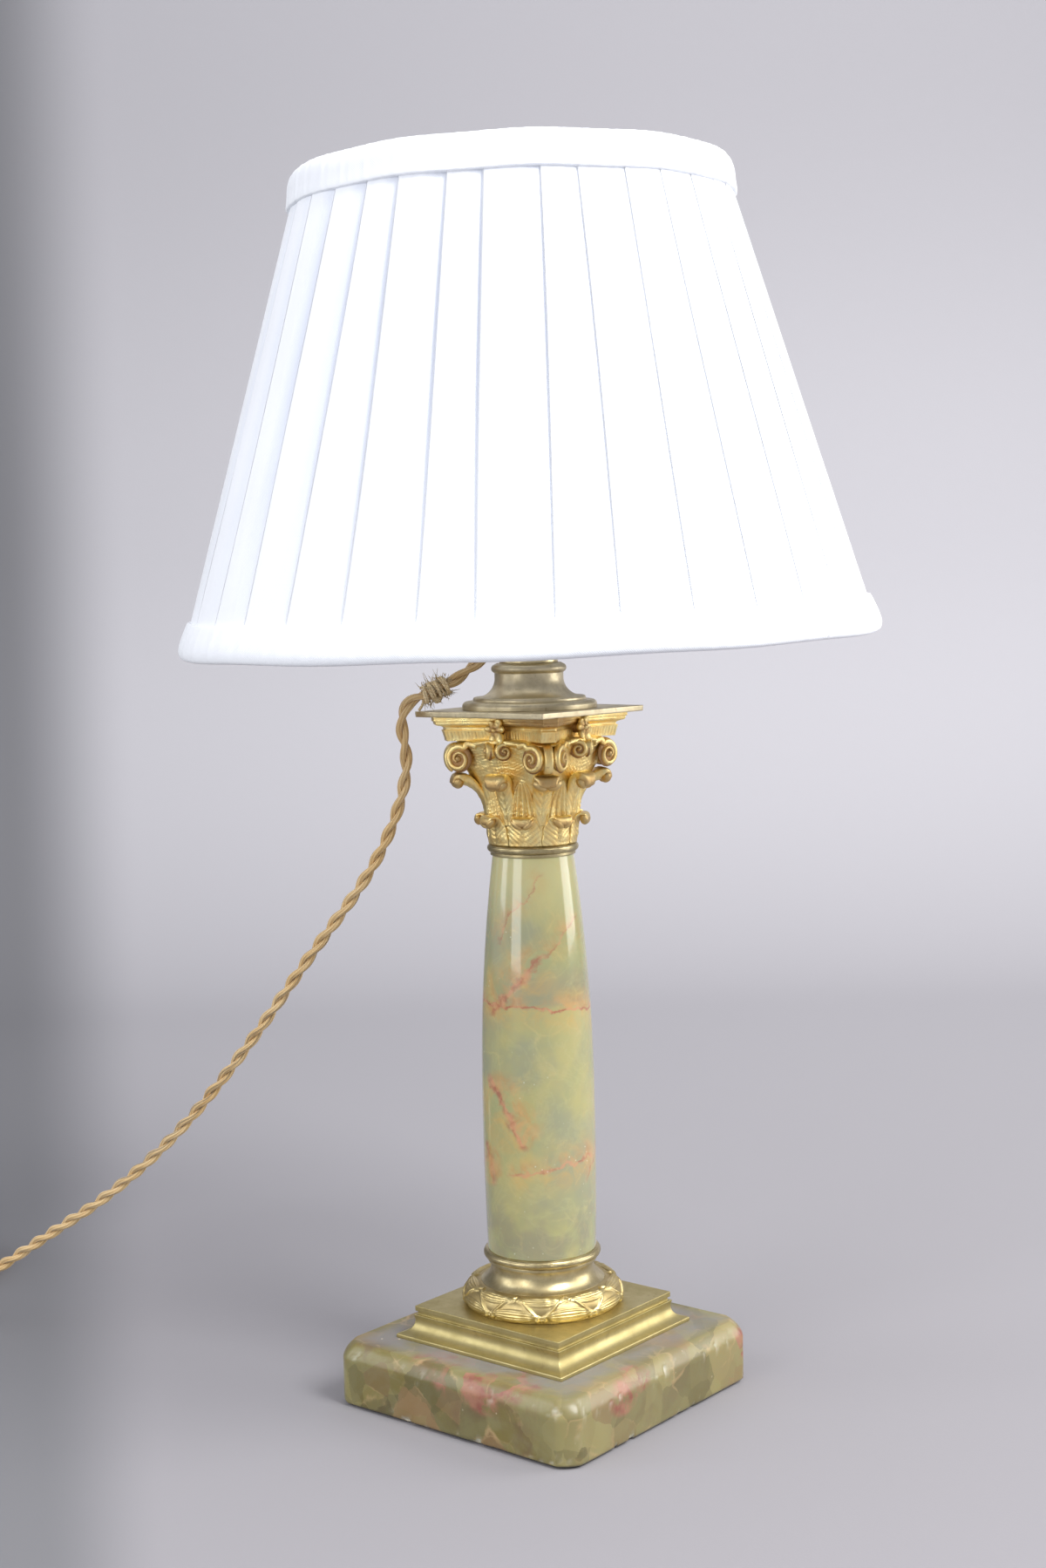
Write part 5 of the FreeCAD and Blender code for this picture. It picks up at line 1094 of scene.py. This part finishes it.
stalk = np.stack([np.linspace(-6, 0.5, 6), np.zeros(6), np.zeros(6)], axis=-1)
parts.append(evenly(round_tube(stalk, 2.4, 12), 0.9))
gilt_piece("flowers", "abacus_flowers", ring_of(moved(together(parts), FLOWER_PLACE), SIDES))

# %% [markdown]
# ## The shade
# The shade is white cotton, knife-pleated by hand over a wire frame and stretched between two
# rings. Each pleat is a face whose left fold lies on top and whose right side dips and goes under
# its neighbour. The hidden tuck takes up the cloth that the narrower top has no room for: half a
# face at the top, next to nothing at the foot, so that the cloth is nearly as wide all the way up.
# A simulation would only blur such stitched folds, so the cross-section is drawn in code: a zigzag
# in (angle, depth), the same for every pleat but with its own spacing and slackness.

# %% Shade measures
SHADE_FOOT, SHADE_HEIGHT = 335.8, 197.0
FOOT_RADIUS, TOP_RADIUS = 149.3, 90.3
LEAN, LEAN_CENTRE = math.radians(1.75), np.array([0.0, 0.0, 375.7])
LEAN_TURN = np.array(
    [[1, 0, 0], [0, math.cos(LEAN), math.sin(LEAN)], [0, -math.sin(LEAN), math.cos(LEAN)]]
)
NARROWING = FOOT_RADIUS - TOP_RADIUS
SLANT = math.hypot(SHADE_HEIGHT, NARROWING)


def on_cone(angle, share, depth):
    """A point on the shade: angle round, share of the way up, depth outward from the cloth."""
    r = FOOT_RADIUS - NARROWING * share + depth * SHADE_HEIGHT / SLANT
    return swung(r, angle, SHADE_FOOT + SHADE_HEIGHT * share + depth * NARROWING / SLANT)


def around(points):
    """The distance round one row of a grid, for the weave."""
    return np.cumsum(np.linalg.norm(points - np.roll(points, 1, axis=0), axis=-1))


def cloth_piece(name, node, points, slot, material, up, round_it, **numbers):
    """A cloth on the shade, which sits a little askew in its fitting: it is all turned about X.
    It stores the millimetres up and round it for the weave."""
    leaned = (points - LEAN_CENTRE) @ LEAN_TURN + LEAN_CENTRE
    numbers["up"] = np.repeat(up, points.shape[1])
    numbers["around"] = np.tile(round_it, points.shape[0])
    part = grid(leaned, closed_along=numbers.pop("closed_along", False), **numbers)
    return new_piece(name, [node], part, material, "shade")


def thicken(piece, thickness):
    """A cloth's thickness, half to each side of its surface."""
    cloth = piece.modifiers.new("cloth", "SOLIDIFY")
    cloth.thickness, cloth.offset = thickness * MM, 0.0


# %% White cotton
def cotton(name, tint, weave_mm, weave_depth, slub_depth):
    """Plain-woven white cotton: two crossed sets of threads, slubs, and slight unevenness. Painted
    shade: on the dipping side of each pleat's face and on its hidden tuck it is painted darker and
    a little blue."""
    looks = Looks(name, Sheen_Weight=0.2)
    per_mm = 2 * math.pi / weave_mm
    threads = (looks.stored("up") * per_mm).wave() * (looks.stored("around") * per_mm).wave()
    slub = looks.noise(5, 4.0, 0.6, stretch=(1, 1, 0.12))
    uneven = looks.noise(40, 3.0).between(0.3, 0.7) * 0.6 + slub * 0.3
    colour = looks.mix(uneven, tint, tuple(t * 0.95 for t in tint))
    # painted shade: blue-grey where the stored painted shade is set
    colour = looks.mix(looks.stored("fold").held(), colour, (0.60, 0.66, 0.80))
    looks.paint(Base_Color=colour, Roughness=slub * 0.15 + 0.75)
    return looks.bump(threads * 0.25 * weave_depth + slub * slub_depth, 0.4, 0.6).material


COTTON = cotton("white_cotton", (0.90, 0.925, 0.97), 0.9, 0.5, 0.35)
LINING = cotton("white_lining", (0.86, 0.88, 0.92), 0.7, 0.3, 0.2)
BINDING = cotton("cotton_binding", (0.89, 0.915, 0.96), 0.9, 0.6, 0.5)

# %% The folds
PLEATS = 36
# The bearings of the folds that the photograph shows, in degrees from the camera's.
SEEN_TOP = (-58.1, -47.5, -36.4, -27.0, -14.5, -6.2, 6.9, 15.7, 27.8, 38.7, 49.6)
SEEN_FOOT = (-60.2, -50.3, -40.0, -29.5, -17.3, -8.2, 3.7, 13.4, 25.0, 36.2, 47.0)
# How slack the pleats on the camera's side are: loose to the left, pulled tight to the right. Slack
# also sets the strength of each pleat's painted shade.
SEEN_SLACK = (1.3, 1.3, 1.3, 1.25, 1.15, 0.9, 0.6, 0.4, 0.3, 0.27, 0.25, 0.25, 0.25, 0.3)


def fold_angles(seen, uneven):
    """The folds that show keep their places; the rest share what is left, a little unevenly."""
    rest = PLEATS - len(seen)
    gap = (360 - (seen[-1] - seen[0])) / (rest + 1)
    others = seen[-1] + gap * np.arange(1, rest + 1) + uneven
    return np.radians(np.concatenate([seen, others]) + CAMERA_TURN - 90)


draw = np.random.default_rng(21)
uneven = draw.uniform(-0.16, 0.16, PLEATS - len(SEEN_TOP)) * 10
top_folds, foot_folds = fold_angles(SEEN_TOP, uneven), fold_angles(SEEN_FOOT, uneven * 0.7)
slack = draw.uniform(0.7, 1.25, PLEATS)
slack[: len(SEEN_SLACK)] = SEEN_SLACK
slack = slack[None, :, None]
share = np.linspace(0.012, 0.988, 72)[:, None]
waver = np.sin(share * math.pi * 1.3 + draw.uniform(0, 6.3, PLEATS)) * 0.0045
folds = foot_folds + (top_folds - foot_folds) * share + waver
face = np.roll(folds, -1, axis=1) - folds  # how wide each face is, as an angle
face[:, -1] += 2 * math.pi

# %% The pleated cover
# Round one pleat: how far across its face, and how far into the tuck.
FACE_STEPS = np.array([0.012, 0.05, 0.12, 0.22, 0.34, 0.46, 0.58, 0.70, 0.80, 0.88, 0.94, 0.985])
UNDER_STEPS = np.array([0.3, 0.7, 1.0, 1.0, 0.7, 0.3])
CLIMB = np.array([0.0, 0.0, 0.0, 0.55, 0.7, 0.8])  # the tuck comes back up under the next face
tuck = 0.05 + 0.36 * share**0.8
dip = np.clip((FACE_STEPS - 0.55) / 0.45, 0, 1) ** 1.7
loose = (np.sin(math.pi * np.clip(share, 0.02, 1)) ** 0.5 * (0.35 + 0.65 * share))[..., None]
face_depth = -0.1 - 0.12 * np.sin(FACE_STEPS * math.pi) - dip * (0.25 + 1.5 * loose) * slack
under_depth = np.minimum(face_depth[..., -1:] - 0.12, -0.75) * (1 - CLIMB) + CLIMB * -0.62
under_depth = np.maximum(under_depth, -2.55)
across = FACE_STEPS * face[..., None]
under = face[..., None] + UNDER_STEPS * (tuck * face)[..., None]
angle = folds[..., None] + np.concatenate([across, under], axis=-1)
crumple = np.sin(angle * 190 + np.sin(share[..., None] * 5) * 2) * np.sin(angle * 61 + 1.0)
on_face = np.repeat([1.0, 0.0], [len(FACE_STEPS), len(UNDER_STEPS)])
depth = np.concatenate([face_depth, under_depth], axis=-1)
depth = depth - 0.10 * (1 + crumple) * on_face * (0.5 + loose)
points = on_cone(angle, share[..., None], depth).reshape(len(share), -1, 3)
# painted shade: the dipping side of each face, most on slack pleats, and the hidden tuck
shadow = np.clip((FACE_STEPS - 0.5) / 0.25, 0, 1) * np.clip(loose * 1.2, 0, 1) * slack**1.5 * 0.4
fold = np.concatenate([shadow, 0.6 * np.clip(slack, 0, 1) + 0 * under], axis=-1)
cover = cloth_piece(
    "shade_cloth", "shade_cover", points, "shade_cloth", COTTON,
    share[:, 0] * SLANT, around(points[20]), fold=fold,
)
thicken(cover, 0.22)
print("cover cloth: %.0f mm round at the foot, %.0f at the top" % tuple(girth(points)[[0, -1]]))

# %% [markdown]
# The lining is one plain cloth, eased onto the frame from inside with shallow gathers that run
# down it. The bindings are bias strips about 14 mm deep, folded over each ring and stitched, so
# they bulge a little and pucker where the bias is pulled round.

# %% Lining
LINING_INSET = 5.42
share = np.linspace(4.7, 192.3, 40)[:, None] / SHADE_HEIGHT
angle = full_turn(432)[None]
gathers = np.sin(angle * 54 + 2 * np.sin(angle * 7)) * (0.06 + 0.14 * share)
points = on_cone(angle, share, -LINING_INSET + gathers)
lining = cloth_piece(
    "lining", "shade_lining", points, "shade_lining", LINING,
    share[:, 0] * SLANT, around(points[20]),
)
thicken(lining, 0.3)


# %% Bindings
def binding(name, node, level, radius, section, seed):
    """A rolled band: section points are (depth from the cloth, mm up), bulging and puckered."""
    ring = smooth_path([*section, section[0]], 43)[:-1]
    angle = full_turn(540)[None]
    share = (level + ring[:, 1:]) / SHADE_HEIGHT
    pull = np.sin(angle * 97 + 3 * np.sin(angle * 5 + seed)) * np.sin(angle * 23 + seed)
    depth = ring[:, :1] * (1 + 0.05 * np.sin(angle * 9 + seed)) + 0.16 * pull
    points = on_cone(angle, share + 0.25 / SHADE_HEIGHT * np.sin(angle * 11 + seed * 2), depth)
    piece = cloth_piece(
        name, node, points, "shade_band", BINDING,
        run_length(ring), angle[0] * radius, closed_along=True,
    )


FOOT_SECTION = (
    (0.4, 13.4), (1.2, 12.8), (1.9, 9.0), (2.4, 4.5), (2.2, 1.0), (0.9, -1.2), (-1.4, -1.3),
    (-3.4, 0.2), (-4.2, 3.5), (-4.0, 8.0), (-3.6, 12.8), (-1.5, 13.3),
)
TOP_SECTION = (
    (-1.5, -13.3), (-3.4, -12.8), (-3.8, -8.0), (-4.0, -3.5), (-3.2, -0.2), (-1.2, 1.2),
    (1.2, 1.1), (2.6, -1.0), (2.9, -4.5), (2.0, -9.0), (1.3, -12.9), (0.4, -13.4),
)
binding("foot_binding", "bottom_trim", 0.0, FOOT_RADIUS, FOOT_SECTION, 1.0)
binding("top_binding", "top_trim", SHADE_HEIGHT, TOP_RADIUS, TOP_SECTION, 2.0)

# %% [markdown]
# ## Fittings
# The lampholder, bulb, gimbal, wires, plug and bolts are machined or moulded to the CAD's own
# shapes, so those nodes stay and get finishes. Most of them are seen only from below or behind.


# %% Fitting finishes
def plain(name, first, second, rough, grain_mm=1.0, grain_depth=0.03, **constants):
    """A painted, moulded or glazed finish: two close tones, fine grain, uneven gloss."""
    looks = Looks(name, **constants)
    patches = looks.noise(8, 5.0, 0.6).between(0.35, 0.65)
    grain = looks.noise(grain_mm, 4.0, 0.6)
    colour = looks.mix(patches * 0.8 + grain * 0.2, first, second)
    looks.paint(Base_Color=colour, Roughness=(patches * 0.12 + grain * 0.08 + rough).held())
    return looks.bump(grain, grain_depth).material


FINISHED = (  # a finish, and the nodes that have it
    (plain("green_baize", (0.05, 0.11, 0.05), (0.08, 0.15, 0.07), 0.85, 0.5, 0.3), "baize_pad"),
    (
        plain("plated_steel", (0.55, 0.55, 0.53), (0.42, 0.42, 0.40), 0.28, Metallic=1.0),
        "tie_rod rod_washer rod_nut contact_springs gimbal_pivots plug_screw",
    ),
    (
        plain("dark_plastic", (0.03, 0.02, 0.015), (0.05, 0.03, 0.02), 0.3),
        "cord_bush switch_bar",
    ),
    (
        plain(
            "glazed_porcelain", (0.82, 0.81, 0.77), (0.75, 0.73, 0.68), 0.12, Coat_Weight=0.5
        ),
        "insulator plug_fuse",
    ),
    (
        plain("cream_plastic", (0.80, 0.79, 0.74), (0.74, 0.73, 0.67), 0.32, 0.6),
        "plug_cover plug_base",
    ),
    (
        plain("bulb_cap_metal", (0.66, 0.66, 0.64), (0.52, 0.52, 0.50), 0.3, Metallic=1.0),
        "bulb_cap",
    ),
    (
        plain("solder", (0.50, 0.50, 0.52), (0.38, 0.38, 0.40), 0.35, Metallic=1.0),
        "bulb_contacts",
    ),
    (plain("vitrite", (0.02, 0.02, 0.025), (0.03, 0.03, 0.04), 0.1), "bulb_end_disc"),
    (
        plain("opal_glass", (0.90, 0.90, 0.88), (0.84, 0.84, 0.82), 0.2, Coat_Weight=0.4),
        "bulb_glass",
    ),
    (plain("stem_glass", (0.70, 0.74, 0.74), (0.62, 0.66, 0.66), 0.1), "filament_stem"),
    (
        plain("white_enamel", (0.80, 0.80, 0.79), (0.70, 0.70, 0.68), 0.35, 0.8, 0.05),
        "gimbal_ring shade_spider shade_top_wire shade_bottom_wire shade_struts",
    ),
    (
        FITTING,
        "lampholder_nipple lampholder_cap lampholder_barrel terminal_posts contact_plungers "
        "bulb_pins shade_ring plug_power_pins plug_earth_pin",
    ),
)
for finish, nodes in FINISHED:
    for node in nodes.split():
        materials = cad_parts[node].data.materials
        materials.clear()
        materials.append(finish)

# %% [markdown]
# ## The string
# A piece of sisal string holds the flex to the plate's corner. It is wound about the flex and
# knotted under it, and it has frayed: its two ends and many loose fibres stand out.


# %% The string tie
def string_straw():
    looks = Looks("sisal_string", Roughness=0.8, Sheen_Weight=0.2)
    strands = (looks.stored("along") * 5.0 + looks.stored("round") * 2.0).wave() * 0.5 + 0.5
    colour = looks.mix(looks.noise(3, 3.0), (1.0, 0.76, 0.40), (1.0, 0.87, 0.56))
    looks.paint(Base_Color=looks.mix(strands * 0.4, colour, (0.66, 0.42, 0.18)))
    return looks.bump(strands, 0.15).material


TIE_REACH = 5  # samples of the flex to each side that the string covers
STRING_RADIUS, FIBRES = 0.55, 240
CORNER_OF_PLATE = np.array([-33.6, -34.6, 305.9])
tie_at = np.array(FLEX_ROUTE[1]) * 0.12 + np.array(FLEX_ROUTE[2]) * 0.88
nearest = int(np.argmin(np.linalg.norm(samples - tie_at, axis=1)))
covered = slice(nearest - TIE_REACH, nearest + TIE_REACH + 1)
tie_frame = [rows[covered] for rows in (samples, line_side, line_up)]


def on_tie(share, angle, away):
    """Points round the flex: share along the tie, angle round it, away from its middle line."""
    at, steps = np.atleast_1d(share) * 2 * TIE_REACH, np.arange(2 * TIE_REACH + 1)
    spot, side, up = (
        np.stack([np.interp(at, steps, rows[:, i]) for i in range(3)], axis=-1)
        for rows in tie_frame
    )
    angle, away = np.asarray(angle)[..., None], np.asarray(away)[..., None]
    return spot + (side * np.cos(angle) + up * np.sin(angle)) * away


def fibre(root, reach, bow, steps, thick, thin):
    """A tapering fibre: root + reach t + bow t squared."""
    t = np.linspace(0, 1, steps)
    path = root + reach * t[:, None] + bow * t[:, None] ** 2
    return round_tube(path, np.interp(t, [0, 1], [thick, thin]), 4)


draw = np.random.default_rng(5)
parts = []
for start, turns, away in ((0.0, 6.5, 3.3), (0.4, 3.5, 3.9), (2.0, 4.5, 3.6)):
    t = np.linspace(0, 1, 150)
    share = 0.08 + 0.84 * t + 0.06 * np.sin(t * 21 + start)
    wind = on_tie(share, start + t * turns * 2 * math.pi, away + 0.45 * np.sin(t * 33 + start))
    parts.append(round_tube(wind, STRING_RADIUS, 7))
knot = on_tie(0.45, 0.0, 0.0)[0] + np.array([0.9, -1.0, -4.2])
for _ in range(4):  # the knot hangs under the flex: small crossing loops
    t = np.linspace(0, 2 * math.pi, 26)
    a, b = draw.normal(size=3), draw.normal(size=3)
    a = unit(a)
    b = unit(b - a * (a @ b))
    loop = knot + np.outer(np.cos(t), a) * 1.5 + np.outer(np.sin(t), b) * 1.3
    parts.append(round_tube(loop, STRING_RADIUS, 7))
for _ in range(FIBRES):
    share, angle = draw.uniform(0, 1), draw.uniform(0, 2 * math.pi)
    root = on_tie(share, angle, 3.5)[0]
    away = (root - on_tie(share, angle, 0.0)[0]) / 3.5
    reach = away * draw.uniform(0.8, 2.6) + draw.normal(0, 1.1, 3)
    parts.append(fibre(root, reach, draw.normal(0, 0.7, 3), 7, 0.2, 0.07))
# The string's two frayed ends: their place on the tie, which way they go and how many fibres.
ENDS = (((0.25, 1.6), (-0.8, -0.6, 6.5), 26), ((0.5, 4.6), (1.6, -1.8, -3.4), 16))
for place, way, count in ENDS:
    for _ in range(count):
        root = on_tie(*place, 3.4)[0] + draw.normal(0, 0.5, 3)
        reach = np.array(way) * draw.uniform(0.5, 1.3) + draw.normal(0, 0.9, 3)
        parts.append(fibre(root, reach, draw.normal(0, 0.8, 3), 9, 0.26, 0.08))
t = np.linspace(0, 1, 24)[:, None]
strand = on_tie(1.0, 0.0, 0.0)[0] * (1 - t) + CORNER_OF_PLATE * t
strand = strand + np.sin(t * math.pi) * [1.2, 0.6, 0.4]
parts.append(round_tube(strand, 0.6, 8))
new_piece("string", ["string_tie"], together(parts), string_straw())

# %% [markdown]
# ## Floor, backdrop and light
# The photograph was taken on a sweep of pale paper: floor, soft curve and wall in one sheet. It is
# a shallow trough here, swept from side to side as the camera sees it. Tall soft boxes stand left
# and right of the camera, which is what leaves two upright highlights on the polished column.


# %% Sweep of paper
def paper():
    """Grey paper with painted shade: the floor is painted darker than the wall, and the sheet
    darker far up and towards the left, where less light falls. It can't be seen from behind, where
    it would hide the lamp: a camera's ray passes through the sheet's back."""
    looks = Looks("grey_paper_painted_shade", Roughness=0.85)
    x, y, z = looks.axes()
    c, s = math.cos(math.radians(CAMERA_TURN)), math.sin(math.radians(CAMERA_TURN))
    side, ahead = x * c + y * s, y * c - x * s
    climb = z + ahead * 0.45
    fan = side / (ahead + 1000 * CAMERA_DISTANCE)  # 0 along the middle, 0.25 at the view's edges
    # painted shade: floor darker than wall, darker high up, and a dark band towards the left edge
    colour = looks.mix(climb.between(-100, 900), (0.31, 0.298, 0.316), (0.56, 0.55, 0.575))
    colour = looks.mix(climb.between(1000, 1500) * 0.4, colour, (0.32, 0.31, 0.33))
    colour = looks.mix((1.0 - fan.between(-0.248, -0.185)) * 0.95, colour, (0.165, 0.165, 0.175))
    colour = looks.mix((1.0 - fan.between(-0.2, 0.12)) * 0.12, colour, (0.30, 0.30, 0.32))
    behind = looks.node("ShaderNodeNewGeometry", output="Backfacing")
    behind = behind * looks.node("ShaderNodeLightPath", output="Is Camera Ray")
    looks.paint(Base_Color=colour, Alpha=1.0 - behind)
    return looks.bump(looks.noise(1.2, 3.0), 0.05).material


def sweep_points():
    """Flat, a quarter circle, then upright: a strip across the view, turned to the camera."""
    flat, bend, wall = 900.0, 420.0, 1500.0
    corner = flat + bend * math.pi / 2
    t = np.linspace(-900, corner + wall, 90)[:, None]
    turn = np.clip((t - flat) / bend, 0, math.pi / 2)
    ahead = np.minimum(t, flat) + bend * np.sin(turn)
    height = bend * (1 - np.cos(turn)) + np.maximum(t - corner, 0)
    across = np.linspace(-2200, 2200, 24)[None]
    points = np.stack(np.broadcast_arrays(across, ahead, height), axis=-1)
    return spun(points, CAMERA_TURN)


points, faces, _ = grid(sweep_points(), closed_round=False)
sheet = bpy.data.meshes.new("sweep")
sheet.from_pydata((points * MM).tolist(), [], faces)
sheet.polygons.foreach_set("use_smooth", np.ones(len(faces), bool))
sheet.materials.append(paper())
placed("sweep", sheet)


# %% Soft boxes
def soft_box(name, turn, up, away, width, height, watts, colour=(1, 1, 1), aim=0.27):
    """An area lamp at a bearing from the camera's own, aimed at a height on the lamp's axis."""
    data = bpy.data.lights.new(name, "AREA")
    data.shape, data.size, data.size_y = "RECTANGLE", width, height
    data.energy, data.color = watts, colour
    spot = spun(np.array([0, -away, up]), CAMERA_TURN + turn)
    back = unit(spot - [0, 0, aim])
    right = unit(np.cross([0, 0, 1.0], back))
    placed(name, data, (right, np.cross(back, right), back), spot)


soft_box("left_box", -44, 0.72, 1.3, 0.6, 1.25, 7)
soft_box("right_box", 94, 0.72, 1.3, 0.8, 1.25, 11, (1.0, 0.99, 0.97))
soft_box("far_left_box", -84, 0.8, 1.5, 0.5, 1.2, 5, (0.95, 0.97, 1.0))
soft_box("high_right_box", 46, 1.5, 1.25, 0.6, 1.1, 30)
soft_box("top_box", 10, 2.0, 0.5, 1.6, 1.2, 7, aim=0.1)
world = bpy.data.worlds.new("world")
world.use_nodes = True
background = world.node_tree.nodes["Background"].inputs
background["Color"].default_value = (0.90, 0.91, 0.99, 1.0)
background["Strength"].default_value = 0.55
SCENE.world = world
